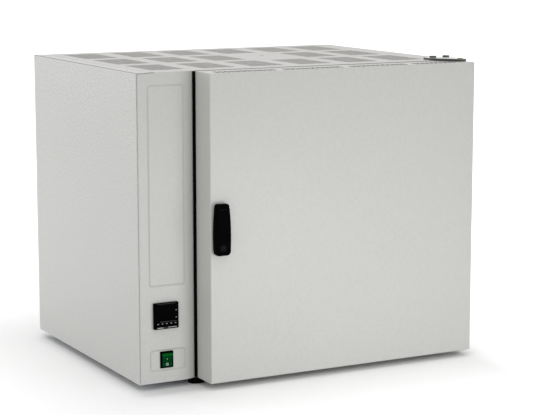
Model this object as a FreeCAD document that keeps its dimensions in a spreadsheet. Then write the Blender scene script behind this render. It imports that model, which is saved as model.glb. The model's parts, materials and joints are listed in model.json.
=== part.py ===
import FreeCAD, Part
import math
import os
import re

import Sketcher

# Dry heat sterilizer for a laboratory bench: a sheet-metal cabinet with a control column on the left
# and a heated chamber behind a door that is hinged on the right.
# Millimetres. +X is to the right, +Y to the back and +Z up. The origin is on the floor, in the middle
# of the whole object's width and depth.

# Driving dimensions, each set by itself
SIZES = {
    # Cabinet
    "body_width": 677,
    "body_height": 563,
    "body_depth": 510,
    "foot_height": 12,
    "column_width": 113.5,
    "column_gap": 2.5,
    "sheet": 1.2,
    "bend": 2,
    "seam": 0.8,
    "return_flange": 14,
    "base_flange": 18,
    "side_flange": 25,
    "frame_setback": 9,
    "frame_fold": 15,
    "cover_setback": 4,
    "cover_fold": 12,
    "air_gap": 12,
    # Shared clearances
    "fit": 0.05,
    "running": 0.1,
    "loose": 0.3,
    "overrun": 2,
    # Perforated patches and vent in the top cover
    "patch_margin_left": 23.3,
    "patch_margin_right": 52.4,
    "patch_margin_front": 45,
    "patch_margin_back": 37,
    "patch_width": 68,
    "patch_depth": 118,
    "slot_width": 4.2,
    # Control panel
    "panel_return": 30,
    "panel_roll_width": 14.5,
    "panel_roll_drop": 5.5,
    "panel_roll_radius": 40,
    "panel_edge_radius": 6,
    "field_depth": 0.6,
    "field_round": 0.5,
    "field_radius": 5,
    "field_inset": 22,
    "field_span": 69.5,
    "upper_field_low": 178.3,
    "upper_field_margin": 23,
    "lower_field_low": 21.6,
    "lower_field_tall": 38.6,
    "notch_width": 10,
    "notch_depth": 5,
    # Temperature controller
    "controller_across": 52.1,
    "controller_up": 124,
    "controller_front": 48,
    "controller_stand": 6,
    "controller_cutout": 45,
    "controller_depth": 62,
    "controller_corner": 1.6,
    "window_width": 42,
    "window_tall": 30,
    "window_sink": 0.6,
    "window_thick": 1.4,
    "window_margin": 3,
    "key_width": 5,
    "key_tall": 3,
    "key_pitch": 8.6,
    "key_up": 10,
    "key_stand": 0.6,
    "key_depth": 3,
    "key_travel": 0.5,
    # Mains switch
    "switch_across": 54,
    "switch_up": 42,
    "switch_front_width": 25.6,
    "switch_front_tall": 31,
    "switch_stand": 2,
    "switch_cutout_width": 22,
    "switch_cutout_tall": 30,
    "switch_depth": 24,
    "switch_wall": 1.4,
    "rocker_half": 11.6,
    "rocker_tilt": 9,
    "rocker_pivot_sink": 4.5,
    "rocker_pin_radius": 1.5,
    "rocker_rim": 6.5,
    # Chamber
    "chamber_left_room": 65,
    "chamber_right_room": 68.5,
    "chamber_low_room": 66.5,
    "chamber_top_room": 66.5,
    "chamber_depth": 400,
    "liner_sheet": 1,
    "liner_flange": 15,
    "back_wool": 54,
    "seal_width": 14,
    "seal_gap": 6,
    "seal_radius": 12,
    # Shelves and runners
    "runner_depth": 12,
    "runner_tall": 20,
    "runner_sheet": 1.5,
    "runner_front_gap": 20,
    "upper_shelf_up": 285,
    "lower_shelf_up": 130,
    "shelf_depth": 315,
    "shelf_front_gap": 21,
    "shelf_side_gap": 3,
    "rim_radius": 3,
    "wire_radius": 1.5,
    # Circulation fan, heater and baffle
    "baffle_stand": 46,
    "baffle_margin": 20,
    "baffle_sheet": 1,
    "intake_radius": 55,
    "intake_slot": 8,
    "wheel_radius": 75,
    "wheel_width": 26,
    "wheel_gap": 9,
    "wheel_sheet": 1.5,
    "hub_radius": 11,
    "blade_root": 42,
    "shaft_radius": 4,
    "shaft_nut_flats": 13,
    "motor_radius": 41,
    "motor_length": 34,
    "motor_grip": 22,
    "bracket_half": 52,
    "bracket_sheet": 1.5,
    "stud_radius": 4,
    "stud_spread": 42,
    "shaft_way": 9,
    "heater_radius": 104,
    "heater_tube": 4,
    "heater_gap": 22,
    "heater_lead": 12,
    "heater_open_angle": 20,
    # Probes and vent
    "probe_radius": 3,
    "probe_reach": 55,
    "probe_down": 60,
    "probe_back": 90,
    "probe_nut": 12,
    "probe_nut_thick": 8,
    "limit_radius": 2,
    "limit_drop": 34,
    "limit_width": 34,
    "limit_tall": 28,
    "limit_depth": 22,
    "vent_bore": 4.5,
    "vent_wall": 1.2,
    "vent_back": 276,
    "vent_rim": 12,
    # Door
    "door_thickness": 58,
    "door_clearance": 1,
    "door_liner_sheet": 1,
    "door_pan_rise": 6,
    "door_pan_margin": 12,
    "door_air": 30,
    "latch_side_room": 46,
    "hinge_side_room": 34,
    "vent_slot_width": 6,
    "vent_slot_length": 26,
    "vent_slot_back": 24,
    "vent_group_inset": 20.5,
    "vent_group_gap": 15.2,
    "vent_row_spare": 5.8,
    # Hinges
    "pin_inset": 12,
    "pin_forward": 25,
    "pin_radius": 4,
    "pin_head_radius": 5,
    "pin_head": 1.2,
    "pin_depth": 20,
    "bush_wall": 2,
    "bush_flange": 2.5,
    "bush_flange_thick": 0.7,
    "hinge_plate": 4,
    "plate_reach": 57,
    "plate_back": 34,
    "plate_shoulder": 10,
    "plate_nose": 6.7,
    "plate_nose_radius": 9.6,
    "block_half": 10,
    "block_tall": 18,
    "bolt_back": 24,
    "bolt_pitch": 30,
    "bolt_radius": 4,
    "bolt_hole": 4.2,
    "bolt_flats": 13,
    "bolt_head": 3.6,
    "doubler": 8,
    "doubler_edge": 9,
    # Handle and latch
    "handle_stand": 14,
    "rose_thick": 4,
    "handle_across": 134.6,
    "handle_up": 237.3,
    "handle_tall": 93,
    "handle_half_top": 12.2,
    "handle_half_bottom": 14.6,
    "handle_bow_radius": 470,
    "handle_top_radius": 4,
    "handle_bottom_radius": 11,
    "handle_edge": 1.6,
    "hub_up": 14,
    "hub_face_radius": 7,
    "hub_face_rise": 0.6,
    "grip_ledge": 10,
    "grip_sink": 1.2,
    "rose_inset": 1.5,
    "spindle_radius": 4,
    "cam_length": 15,
    "cam_width": 11,
    "cam_thick": 2.5,
    "cam_gap": 4.2,
    "keeper_thick": 2,
    "keeper_tall": 34,
    "keeper_depth": 13,
    # Feet
    "foot_radius": 15,
    "foot_top_radius": 13,
    "foot_side": 6.9,
    "foot_end": 16.5,
    "foot_screw_radius": 2.5,
    "foot_screw_head": 4.5,
    "foot_screw_head_thick": 3,
    "foot_sink": 5,
    "foot_nut_flats": 8,
    "foot_nut": 4,
    # Back panel
    "inlet_stand": 4,
    "inlet_across": 55,
    "inlet_up": 62,
    "inlet_flange_width": 50,
    "inlet_flange_tall": 26,
    "inlet_width": 28,
    "inlet_tall": 20.4,
    "inlet_depth": 26,
    "socket_width": 25,
    "socket_tall": 17,
    "socket_depth": 16,
    "blade_width": 4,
    "blade_thick": 2,
    "blade_length": 13,
    "blade_apart": 7,
    "blade_offset": 3.5,
    "screw_radius": 2,
    "screw_head_radius": 4,
    "screw_head": 2.4,
    "screw_length": 6,
    "louvre_tall": 4,
    "louvre_pitch": 11,
    "louvre_width": 70,
    "louvre_up": 330,
    "motor_louvre_width": 130,
    # Electrics in the column
    "relay_width": 45,
    "relay_tall": 58,
    "relay_depth": 28,
    "relay_back": 150,
    "relay_up": 250,
    "relay_plate": 4,
    "terminal_width": 52,
    "terminal_length": 84,
    "terminal_tall": 26,
    "terminal_back": 330,
    "cable_radius": 4,
    "cable_bend": 12,
}

# Counts of what repeats
PATCH_COLUMNS = 6
PATCH_ROWS = 3
PATCH_SLOTS = 15
VENT_GROUPS = 4
VENT_SLOTS = 12
VENT_SLOTS_BY_HINGE = 9
SHELF_WIRES = 21
FAN_BLADES = 12
KEYS = 5
LOUVRES = 8
TERMINALS = 6
INTAKE_SLOTS = 7

# Places that follow from the driving dimensions
PLACES = {
    "left": "-body_width / 2",
    "right": "body_width / 2",
    "inside_left": "left + sheet",
    "inside_right": "right - sheet",
    "column_right": "left + column_width",
    "door_left": "column_right + column_gap",
    "door_front": "handle_stand - (handle_stand + door_thickness + body_depth + inlet_stand) / 2",
    "panel_front": "door_front + door_thickness",
    "rear": "panel_front + body_depth",
    "back_inside": "rear - sheet",
    "underside": "foot_height",
    "floor_top": "underside + sheet",
    "roof": "underside + body_height",
    "roof_under": "roof - sheet",
    "frame_front": "panel_front + frame_setback",
    "frame_back": "frame_front + sheet",
    "cover_front": "panel_front + cover_setback",
    "cover_left": "left + side_flange + seam",
    "chamber_left": "column_right + chamber_left_room",
    "chamber_right": "right - chamber_right_room",
    "chamber_middle": "(chamber_left + chamber_right) / 2",
    "chamber_floor": "underside + chamber_low_room",
    "chamber_roof": "roof - chamber_top_room",
    "chamber_height": "chamber_roof - chamber_floor",
    "middle_height": "(chamber_floor + chamber_roof) / 2",
    "chamber_back": "frame_back + chamber_depth",
    "wool_front": "frame_back + liner_sheet",
    "wool_rear": "chamber_back + liner_sheet + back_wool",
    "wool_low": "floor_top + air_gap",
    "wool_high": "roof_under - air_gap",
    "wool_left": "column_right + sheet",
    "wool_right": "inside_right - sheet",
    "door_low": "underside + door_clearance",
    "door_high": "roof - door_clearance",
    "door_back": "panel_front",
    "vent_group_pitch": f"(right - door_left - vent_row_spare) / {VENT_GROUPS}",
    "vent_slot_pitch": f"(vent_group_pitch - vent_group_gap) / {VENT_SLOTS}",
    "pin_x": "right - pin_inset",
    "pin_y": "panel_front - pin_forward",
    "bush_radius": "pin_radius + fit + bush_wall",
    "bolt_y": "panel_front + bolt_back",
    "latch_x": "left + handle_across",
    "latch_z": "underside + handle_up + hub_up",
    "handle_low": "underside + handle_up",
    "handle_high": "handle_low + handle_tall",
    "handle_front": "door_front - handle_stand",
    "rose_front": "door_front - rose_thick",
    "cam_front": "door_back + cam_gap",
    "controller_x": "left + controller_across",
    "controller_z": "underside + controller_up",
    "switch_x": "left + switch_across",
    "switch_z": "underside + switch_up",
    "switch_seat": "panel_front + field_depth",
    "rocker_y": "switch_seat + rocker_pivot_sink - switch_stand",
    "baffle_front": "chamber_back - baffle_stand",
    "wheel_back": "chamber_back - wheel_gap",
    "bracket_front": "wool_rear",
    "motor_front": "bracket_front + bracket_sheet",
    "probe_y": "chamber_back - probe_back",
    "probe_z": "chamber_roof - probe_down",
    "vent_x": "chamber_middle",
    "vent_y": "panel_front + vent_back",
    "vent_radius": "vent_bore + vent_wall",
    "inlet_x": "left + inlet_across",
    "inlet_z": "underside + inlet_up",
    "terminal_x": "inlet_x + terminal_width / 4",
    "patch_room_x": "right - cover_left - patch_margin_left - patch_margin_right",
    "patch_room_y": "body_depth - patch_margin_front - patch_margin_back",
    "patch_pitch_x": f"(patch_room_x - patch_width) / {PATCH_COLUMNS - 1}",
    "patch_pitch_y": f"(patch_room_y - patch_depth) / {PATCH_ROWS - 1}",
}

document = FreeCAD.newDocument("Sterilizer")
sizes = document.addObject("Spreadsheet::Sheet", "Sizes")
places = document.addObject("Spreadsheet::Sheet", "Places")
reading = document.addObject("Spreadsheet::Sheet", "Reading")
sub_parts = []


def linked(formula, own=False):
    """The formula with each named size and place tied to its cell."""
    def tie(match):
        word = match.group(0)
        if word in SIZES:
            return "Sizes." + word
        if word in PLACES:
            return word if own else "Places." + word
        return word
    return re.sub(r"[A-Za-z_]\w*", tie, str(formula))


def fill_sheets():
    """Writes the driving dimensions and the places that follow from them."""
    for row, (alias, number) in enumerate(SIZES.items(), start=1):
        sizes.set(f"A{row}", alias)
        sizes.set(f"B{row}", str(number))
        sizes.setAlias(f"B{row}", alias)
    document.recompute()
    for row, (alias, formula) in enumerate(PLACES.items(), start=1):
        places.set(f"A{row}", alias)
        places.set(f"B{row}", "=" + linked(formula, own=True))
        places.setAlias(f"B{row}", alias)
    document.recompute()


def measure(formula):
    """The number that a formula gives, read back from a cell of a sheet that nothing else follows."""
    reading.set("A1", "=" + linked(formula))
    reading.recompute()
    return float(reading.get("A1"))


def bind(item, **formulas):
    """Ties properties of an object to formulas."""
    for name, formula in formulas.items():
        item.setExpression(name, linked(formula))
    return item


def put(item, at):
    """Ties an object's position to three formulas."""
    for axis, formula in zip("xyz", at):
        item.setExpression("Placement.Base." + axis, linked(formula))
    return item


def keep(name, item):
    """Names a finished sub-part."""
    item.Label = name
    sub_parts.append(item)
    return item


def block(name, x, y, z):
    """A block between two planes along each axis."""
    item = document.addObject("Part::Box", name)
    for size, (low, high) in zip(("Length", "Width", "Height"), (x, y, z)):
        item.setExpression(size, linked(f"({high}) - ({low})"))
    return put(item, [low for low, high in (x, y, z)])


def about(middle, half):
    """Two planes at the same distance on either side of a middle."""
    return f"{middle} - ({half})", f"{middle} + ({half})"


TURNS = {
    "X": FreeCAD.Rotation(FreeCAD.Vector(0, 1, 0), 90),
    "Y": FreeCAD.Rotation(FreeCAD.Vector(1, 0, 0), -90),
    "Z": FreeCAD.Rotation(),
}


def rod(name, axis, at, radius, length):
    """A round bar that starts at a point and runs along an axis."""
    item = document.addObject("Part::Cylinder", name)
    item.Placement = FreeCAD.Placement(FreeCAD.Vector(), TURNS[axis])
    bind(item, Radius=radius, Height=length)
    return put(item, at)


def hex_bar(name, axis, at, flats, length):
    """A hexagonal bar, sized across its flats."""
    item = document.addObject("Part::Prism", name)
    item.Polygon = 6
    item.Placement = FreeCAD.Placement(FreeCAD.Vector(), TURNS[axis])
    bind(item, Circumradius=f"({flats}) / sqrt(3)", Height=length)
    return put(item, at)


def joined(name, *items):
    """One solid from several that touch or overlap."""
    item = document.addObject("Part::MultiFuse", name)
    item.Shapes = list(items)
    item.Refine = True
    return item


def group(name, *items):
    """Separate solids that share a node."""
    item = document.addObject("Part::Compound", name)
    item.Links = list(items)
    return item


def without(name, base, *tools):
    """A solid less one or more others."""
    item = document.addObject("Part::Cut", name)
    item.Base = base
    item.Tool = tools[0] if len(tools) == 1 else group(name + "Tools", *tools)
    item.Refine = True
    return item


def new_body(name):
    """An empty body for sketched features."""
    return document.addObject("PartDesign::Body", name)


def new_sketch(body, plane, level, name):
    """A sketch parallel to one of the body's origin planes, at a level along the third axis."""
    support = next(item for item in body.Origin.OriginFeatures if item.Role == plane + "_Plane")
    sketch = body.newObject("Sketcher::SketchObject", name)
    sketch.AttachmentSupport = (support, [""])
    sketch.MapMode = "FlatFace"
    away = "-1" if plane == "XZ" else "1"
    sketch.setExpression("AttachmentOffset.Base.z", linked(f"{away} * ({level})"))
    return sketch


def fix_point(sketch, geometry, point, u, v):
    """Ties a point of a sketch to two formulas."""
    for kind, formula in (("DistanceX", u), ("DistanceY", v)):
        place = Sketcher.Constraint(kind, -1, 1, geometry, point, measure(formula))
        index = sketch.addConstraint(place)
        sketch.setExpression(f"Constraints[{index}]", linked(formula))


def draw_polygon(sketch, points):
    """A closed outline of straight lines through points written as formulas."""
    first = sketch.GeometryCount
    spots = [FreeCAD.Vector(measure(u), measure(v), 0) for u, v in points]
    for start, end in zip(spots, spots[1:] + spots[:1]):
        sketch.addGeometry(Part.LineSegment(start, end))
    count = len(points)
    for index in range(count):
        following = first + (index + 1) % count
        sketch.addConstraint(Sketcher.Constraint("Coincident", first + index, 2, following, 1))
    for index, (u, v) in enumerate(points):
        fix_point(sketch, first + index, 1, u, v)


def draw_round_rectangle(sketch, u, v, radius):
    """A rectangle with rounded corners, between two formulas each way."""
    corners = (
        (f"{u[0]} + ({radius})", f"{v[0]} + ({radius})"),
        (f"{u[1]} - ({radius})", f"{v[0]} + ({radius})"),
        (f"{u[1]} - ({radius})", f"{v[1]} - ({radius})"),
        (f"{u[0]} + ({radius})", f"{v[1]} - ({radius})"),
    )
    size = measure(radius)
    quarter = math.pi / 2
    arcs = []
    ends = []
    for number, (across, up) in enumerate(corners):
        centre = FreeCAD.Vector(measure(across), measure(up), 0)
        circle = Part.Circle(centre, FreeCAD.Vector(0, 0, 1), size)
        start = math.pi + number * quarter
        stop = start + quarter
        arcs.append(sketch.addGeometry(Part.ArcOfCircle(circle, start, stop)))
        ends.append((circle.value(start), circle.value(stop)))
    for index, arc in enumerate(arcs):
        following = (index + 1) % len(arcs)
        line = sketch.addGeometry(Part.LineSegment(ends[index][1], ends[following][0]))
        sketch.addConstraint(Sketcher.Constraint("Tangent", arc, 2, line, 1))
        sketch.addConstraint(Sketcher.Constraint("Tangent", line, 2, arcs[following], 1))
    for arc, (across, up) in zip(arcs, corners):
        fix_point(sketch, arc, 3, across, up)
        tie = sketch.addConstraint(Sketcher.Constraint("Radius", arc, size))
        sketch.setExpression(f"Constraints[{tie}]", linked(radius))


def pad(body, sketch, length, name, away=False):
    """Material from a sketch, along its normal or away from it."""
    item = body.newObject("PartDesign::Pad", name)
    item.Profile = sketch
    item.Reversed = away
    bind(item, Length=length)
    sketch.Visibility = False
    return item


def pocket(body, sketch, length, name, away=False):
    """A recess from a sketch, against its normal or along it."""
    item = body.newObject("PartDesign::Pocket", name)
    item.Profile = sketch
    item.Reversed = away
    bind(item, Length=length)
    return item


def soften(body, feature, radius, name, test):
    """Rounds the edges of a feature that pass a test."""
    document.recompute()
    chosen = [f"Edge{i}" for i, edge in enumerate(feature.Shape.Edges, start=1) if test(edge)]
    if not chosen:
        raise ValueError(f"no edge to round for {name}")
    item = body.newObject("PartDesign::Fillet", name)
    item.Base = (feature, chosen)
    bind(item, Radius=radius)
    document.recompute()
    return item


def edge_along(axis, spots):
    """A test for straight edges along an axis that pass through given places across it."""
    across = [index for index in range(3) if index != "XYZ".index(axis)]
    wanted = [tuple(measure(formula) for formula in spot) for spot in spots]

    def test(edge):
        if edge.Curve.TypeId != "Part::GeomLine":
            return False
        ends = [vertex.Point for vertex in edge.Vertexes]
        for spot in wanted:
            if all(abs(end[i] - value) < 1e-4 for end in ends for i, value in zip(across, spot)):
                return True
        return False
    return test


def edge_on_level(axis, level):
    """A test for edges that lie wholly on a plane across an axis."""
    index = "XYZ".index(axis)
    height = measure(level)

    def test(edge):
        box = edge.BoundBox
        low = (box.XMin, box.YMin, box.ZMin)[index]
        high = (box.XMax, box.YMax, box.ZMax)[index]
        return abs(low - height) < 1e-4 and abs(high - height) < 1e-4
    return test


def turned(name, at, profile, axis="Z"):
    """A body of revolution: a closed profile of radius and height about an axis through a point."""
    body = new_body(name)
    body.Placement = FreeCAD.Placement(FreeCAD.Vector(), TURNS[axis])
    put(body, at)
    sketch = new_sketch(body, "XZ", "0", name + "Profile")
    draw_polygon(sketch, profile)
    item = body.newObject("PartDesign::Revolution", name + "Turned")
    item.Profile = sketch
    item.ReferenceAxis = (sketch, ["V_Axis"])
    item.Angle = 360
    sketch.Visibility = False
    return body


def slot_row(name, count, x, y, z, step_x="0", step_y="0", step_z="0"):
    """Equal blocks at equal steps, as one set of cutting tools."""
    row = []
    for index in range(count):
        row.append(block(
            name,
            (f"{x[0]} + {index} * ({step_x})", f"{x[1]} + {index} * ({step_x})"),
            (f"{y[0]} + {index} * ({step_y})", f"{y[1]} + {index} * ({step_y})"),
            (f"{z[0]} + {index} * ({step_z})", f"{z[1]} + {index} * ({step_z})"),
        ))
    return row


def foot_places():
    """Middles of the four feet, at the corners of the chamber's part of the cabinet."""
    across = ("column_right + foot_side", "right - plate_reach - foot_radius - bend")
    along = ("panel_front + foot_end", "rear - foot_end")
    return [(x, y) for x in across for y in along]


def back_screw_places():
    """Places of the screws that hold the back panel, each on a folded edge of the cabinet."""
    side = "return_flange / 2"
    heights = ("underside + body_height / 6", "middle_height", "roof - body_height / 6")
    places_on_sides = [(x, z) for z in heights
                       for x in (f"inside_left + {side}", f"inside_right - {side}")]
    low = "floor_top + base_flange / 2"
    return places_on_sides + [(x, low) for x in ("-body_width / 6", "body_width / 6")]


def panel_roll():
    """Where the control panel's front starts to slope back, and its right corner."""
    return (("column_right - panel_roll_width", "panel_front"),
            ("column_right", "panel_front + panel_roll_drop"))


def rolled_plate(name, level, left, behind):
    """A sheet under or over the column that follows the control panel's rolled edge."""
    body = new_body(name)
    outline = new_sketch(body, "XY", level, name + "Outline")
    roll, corner = panel_roll()
    draw_polygon(outline, [(left, "panel_front"), roll, corner, *behind])
    plate = pad(body, outline, "sheet", name + "Pad")
    soften(body, plate, "panel_roll_radius", name + "Roll", edge_along("Z", [roll]))
    return body


def make_base_tray():
    """The floor pan, with folded edges on three sides."""
    side_end = "back_inside - return_flange"
    floor = joined(
        "BaseFolds",
        block("Floor", ("inside_left", "inside_right"), ("frame_front", "back_inside"),
              ("underside", "floor_top")),
        rolled_plate("ColumnFloor", "underside", "inside_left",
                     [("column_right", "frame_front"), ("inside_left", "frame_front")]),
        block("LeftFold", ("inside_left", "inside_left + sheet"),
              ("panel_front + panel_return + seam", side_end),
              ("underside", "floor_top + base_flange")),
        block("RightFold", ("inside_right - sheet", "inside_right"),
              ("frame_back + frame_fold + seam", side_end),
              ("underside", "floor_top + base_flange")),
        block("RearFold", ("inside_left + return_flange + seam", "inside_right - return_flange - seam"),
              ("back_inside - sheet", "back_inside"), ("underside", "floor_top + base_flange")),
    )
    holes = [rod("FootHole", "Z", (x, y, "underside - overrun"), "foot_screw_radius + running",
                 "sheet + 2 * overrun") for x, y in foot_places()]
    holes += [rod("BoltHole", "Z", (x, "bolt_y", "underside - overrun"), "bolt_hole",
                  "sheet + 2 * overrun") for x in ("pin_x", "pin_x - bolt_pitch")]
    holes += [rod("ScrewHole", "Y", (x, "back_inside - sheet - overrun", z), "screw_radius + running",
                  "sheet + 2 * overrun") for x, z in back_screw_places()[-2:]]
    return keep("base_tray", without("BaseTray", floor, *holes))


def side_return(name, x):
    """A side panel's folded rear edge, drilled for the back panel's screws."""
    return block(name, x, ("back_inside - sheet", "back_inside"), ("floor_top", "roof_under"))


def side_screw_holes(side):
    """Holes for the back panel's screws in a side panel's folded edge; side is 0 or 1."""
    chosen = back_screw_places()[side:-2:2]
    return [rod("ScrewHole", "Y", (x, "back_inside - sheet - overrun", z), "screw_radius + running",
                "sheet + 2 * overrun") for x, z in chosen]


def make_left_side_panel():
    """The left side with its wide top edge, folded from one sheet."""
    body = new_body("LeftSide")
    outline = new_sketch(body, "XZ", "panel_front", "LeftSideOutline")
    draw_polygon(outline, [
        ("left", "underside"), ("left + sheet", "underside"), ("left + sheet", "roof_under"),
        ("left + side_flange", "roof_under"), ("left + side_flange", "roof"), ("left", "roof"),
    ])
    wall = pad(body, outline, "body_depth", "LeftSidePad", away=True)
    rounded = soften(body, wall, "bend", "LeftSideBend", edge_along("Y", [("left", "roof")]))
    soften(body, rounded, "bend - sheet", "LeftSideInnerBend",
           edge_along("Y", [("left + sheet", "roof_under")]))
    folded = joined("LeftSideFolds", body,
                    side_return("LeftReturn", ("inside_left - sheet / 2", "inside_left + return_flange")))
    return keep("left_side_panel", without("LeftSidePanel", folded, *side_screw_holes(0)))


def make_right_side_panel():
    """The right side, folded in at its rear edge."""
    folded = joined(
        "RightSideFolds",
        block("RightWall", ("inside_right", "right"), ("frame_front", "rear"),
              ("underside", "roof_under")),
        side_return("RightReturn", ("inside_right - return_flange", "inside_right")),
    )
    return keep("right_side_panel", without("RightSidePanel", folded, *side_screw_holes(1)))


def make_back_panel():
    """The flat back, with air slots for the column and the fan motor and an opening for the inlet."""
    plate = block("BackPlate", ("inside_left + seam", "inside_right - seam"), ("back_inside", "rear"),
                  ("floor_top", "roof_under"))
    through = ("back_inside - overrun", "rear + overrun")
    tools = [block("InletOpening", about("inlet_x", "inlet_width / 2 + loose"), through,
                   about("inlet_z", "inlet_tall / 2 + loose"))]
    tools += slot_row("ColumnLouvre", LOUVRES, about("inlet_x", "louvre_width / 2"), through,
                      ("underside + louvre_up", "underside + louvre_up + louvre_tall"),
                      step_z="louvre_pitch")
    tools += slot_row("MotorLouvre", LOUVRES, about("chamber_middle", "motor_louvre_width / 2"), through,
                      ("underside + louvre_up", "underside + louvre_up + louvre_tall"),
                      step_z="louvre_pitch")
    tools += [rod("ScrewHole", "Y", (x, "back_inside - overrun", z), "screw_radius + running",
                  "sheet + 2 * overrun") for x, z in back_screw_places()]
    return keep("back_panel", without("BackPanel", plate, *tools))


def patch_slots():
    """The slots of the perforated patches in the top cover; one patch makes room for the vent."""
    slots = []
    level = ("roof_under - overrun", "roof + overrun")
    for column in range(PATCH_COLUMNS):
        for row in range(PATCH_ROWS):
            if (column, row) == (3, 1):
                continue
            start_x = f"cover_left + patch_margin_left + {column} * patch_pitch_x"
            start_y = f"panel_front + patch_margin_front + {row} * patch_pitch_y"
            slots += slot_row("PatchSlot", PATCH_SLOTS, (start_x, f"{start_x} + patch_width"),
                              (start_y, f"{start_y} + slot_width"), level,
                              step_y=f"(patch_depth - slot_width) / {PATCH_SLOTS - 1}")
    return slots


def make_top_cover():
    """The perforated top, folded down along its edges."""
    fold = ("roof_under - cover_fold", "roof_under")
    folded = joined(
        "CoverFolds",
        block("CoverPlate", ("door_left", "right"), ("cover_front", "rear"), ("roof_under", "roof")),
        rolled_plate("ColumnCover", "roof_under", "cover_left",
                     [("door_left", "panel_front + panel_roll_drop"), ("door_left", "rear"),
                      ("cover_left", "rear")]),
        block("CoverFrontFold", ("door_left", "inside_right"), ("cover_front", "cover_front + sheet"),
              ("roof_under - cover_fold", "roof")),
        block("CoverLeftFold", ("cover_left", "cover_left + sheet"),
              ("panel_front + panel_return + seam", "back_inside - sheet"),
              ("roof_under - cover_fold", "roof")),
        block("CoverRearFold", ("cover_left", "inside_right - return_flange - seam"),
              ("back_inside - sheet", "back_inside"), ("roof_under - cover_fold", "roof")),
    )
    tools = patch_slots()
    tools += [block("ReliefNotch", ("cover_left - overrun", "cover_left + notch_width"),
                    ("panel_front - overrun", "panel_front + notch_depth"),
                    ("roof_under - overrun", "roof + overrun"))]
    tools += [rod("VentHole", "Z", ("vent_x", "vent_y", fold[0]), "vent_radius + loose",
                  "cover_fold + sheet + overrun")]
    tools += [rod("BoltHole", "Z", (x, "bolt_y", "roof_under - overrun"), "bolt_hole",
                  "sheet + 2 * overrun") for x in ("pin_x", "pin_x - bolt_pitch")]
    return keep("top_cover", without("TopCover", folded, *tools))


def make_front_frame():
    """The plate around the chamber's mouth, set back behind the door, with a fold on the hinge side."""
    plate = joined(
        "FrameFolds",
        block("FramePlate", ("column_right", "inside_right"), ("frame_front", "frame_back"),
              ("floor_top", "roof_under")),
        block("FrameFold", ("inside_right - sheet", "inside_right"),
              ("frame_front", "frame_back + frame_fold"), ("floor_top", "roof_under")),
    )
    mouth = block("Mouth", ("chamber_left", "chamber_right"),
                  ("frame_front - overrun", "frame_back + overrun"), ("chamber_floor", "chamber_roof"))
    return keep("front_frame", without("FrontFrame", plate, mouth))


def make_control_panel():
    """The front of the column: a folded sheet with two shallow pressed fields and two cut-outs."""
    low_left = "inside_left + seam"
    body = new_body("ControlPanelBody")
    outline = new_sketch(body, "XY", "floor_top", "ControlPanelOutline")
    far = "panel_front + panel_return"
    slope = "(panel_roll_drop / panel_roll_width)"
    slant = f"sqrt(1 + {slope} * {slope})"
    roll, corner = panel_roll()
    inner_roll = (f"{roll[0]} - sheet * ({slant} - 1) / {slope}", "panel_front + sheet")
    inner_corner = ("column_right - sheet", f"{corner[1]} + sheet * ({slant} - {slope})")
    draw_polygon(outline, [
        (low_left, "panel_front"), roll, corner, ("column_right", far),
        ("column_right - sheet", far), inner_corner, inner_roll,
        (f"{low_left} + sheet", "panel_front + sheet"), (f"{low_left} + sheet", far), (low_left, far),
    ])
    rounded = pad(body, outline, "roof_under - floor_top", "ControlPanelFold")
    for name, spot, radius in (("Corner", corner, "panel_edge_radius"),
                               ("InnerCorner", inner_corner, "panel_edge_radius - sheet"),
                               ("Roll", roll, "panel_roll_radius"),
                               ("InnerRoll", inner_roll, "panel_roll_radius - sheet"),
                               ("SeamBend", (low_left, "panel_front"), "bend")):
        rounded = soften(body, rounded, radius, "ControlPanel" + name, edge_along("Z", [spot]))
    for name, up in (
            ("UpperField", ("underside + upper_field_low", "roof - upper_field_margin")),
            ("LowerField", ("underside + lower_field_low",
                            "underside + lower_field_low + lower_field_tall"))):
        outline = new_sketch(body, "XZ", "panel_front", name)
        across = ("left + field_inset", "left + field_inset + field_span")
        draw_round_rectangle(outline, across, up, "field_radius")
        field = pocket(body, outline, "field_depth", name + "Pocket")
        soften(body, field, "field_round", name + "Round",
               edge_on_level("Y", "panel_front + field_depth"))
    openings = [
        block("PanelSeam", ("left", "cover_left"),
              ("panel_front - overrun", "panel_front + panel_return + overrun"),
              ("roof_under - seam", "roof_under + overrun")),
        block("ControllerCutout", about("controller_x", "controller_cutout / 2 + loose"),
              ("panel_front - overrun", "panel_front + sheet + overrun"),
              about("controller_z", "controller_cutout / 2 + loose")),
        block("SwitchCutout", about("switch_x", "switch_cutout_width / 2 + loose / 2"),
              ("panel_front - overrun", "panel_front + sheet + overrun"),
              about("switch_z", "switch_cutout_tall / 2 + loose / 2")),
    ]
    return keep("control_panel", without("ControlPanel", body, *openings))


def probe_places():
    """Middles of the temperature probe and of the overheat sensor below it."""
    return (("probe_z", "probe_radius"), ("probe_z - limit_drop", "limit_radius"))


def probe_holes(start, end):
    """Clearance holes for both probes between two planes across X."""
    return [rod("ProbeHole", "X", (f"{start} - overrun", "probe_y", z), f"{radius} + loose",
                f"({end}) - ({start}) + 2 * overrun") for z, radius in probe_places()]


def make_compartment_wall():
    """The sheet between the control column and the insulated chamber."""
    wall = block("Partition", ("column_right", "column_right + sheet"),
                 ("frame_back", "back_inside - sheet"), ("floor_top", "roof_under"))
    fold_room = block("CoverFoldRoom", ("column_right - overrun", "column_right + sheet + overrun"),
                      ("back_inside - 2 * sheet - loose", "back_inside"),
                      ("roof_under - cover_fold - loose", "roof_under + overrun"))
    holes = probe_holes("column_right", "column_right + sheet")
    return keep("compartment_wall", without("CompartmentWall", wall, fold_room, *holes))


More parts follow.
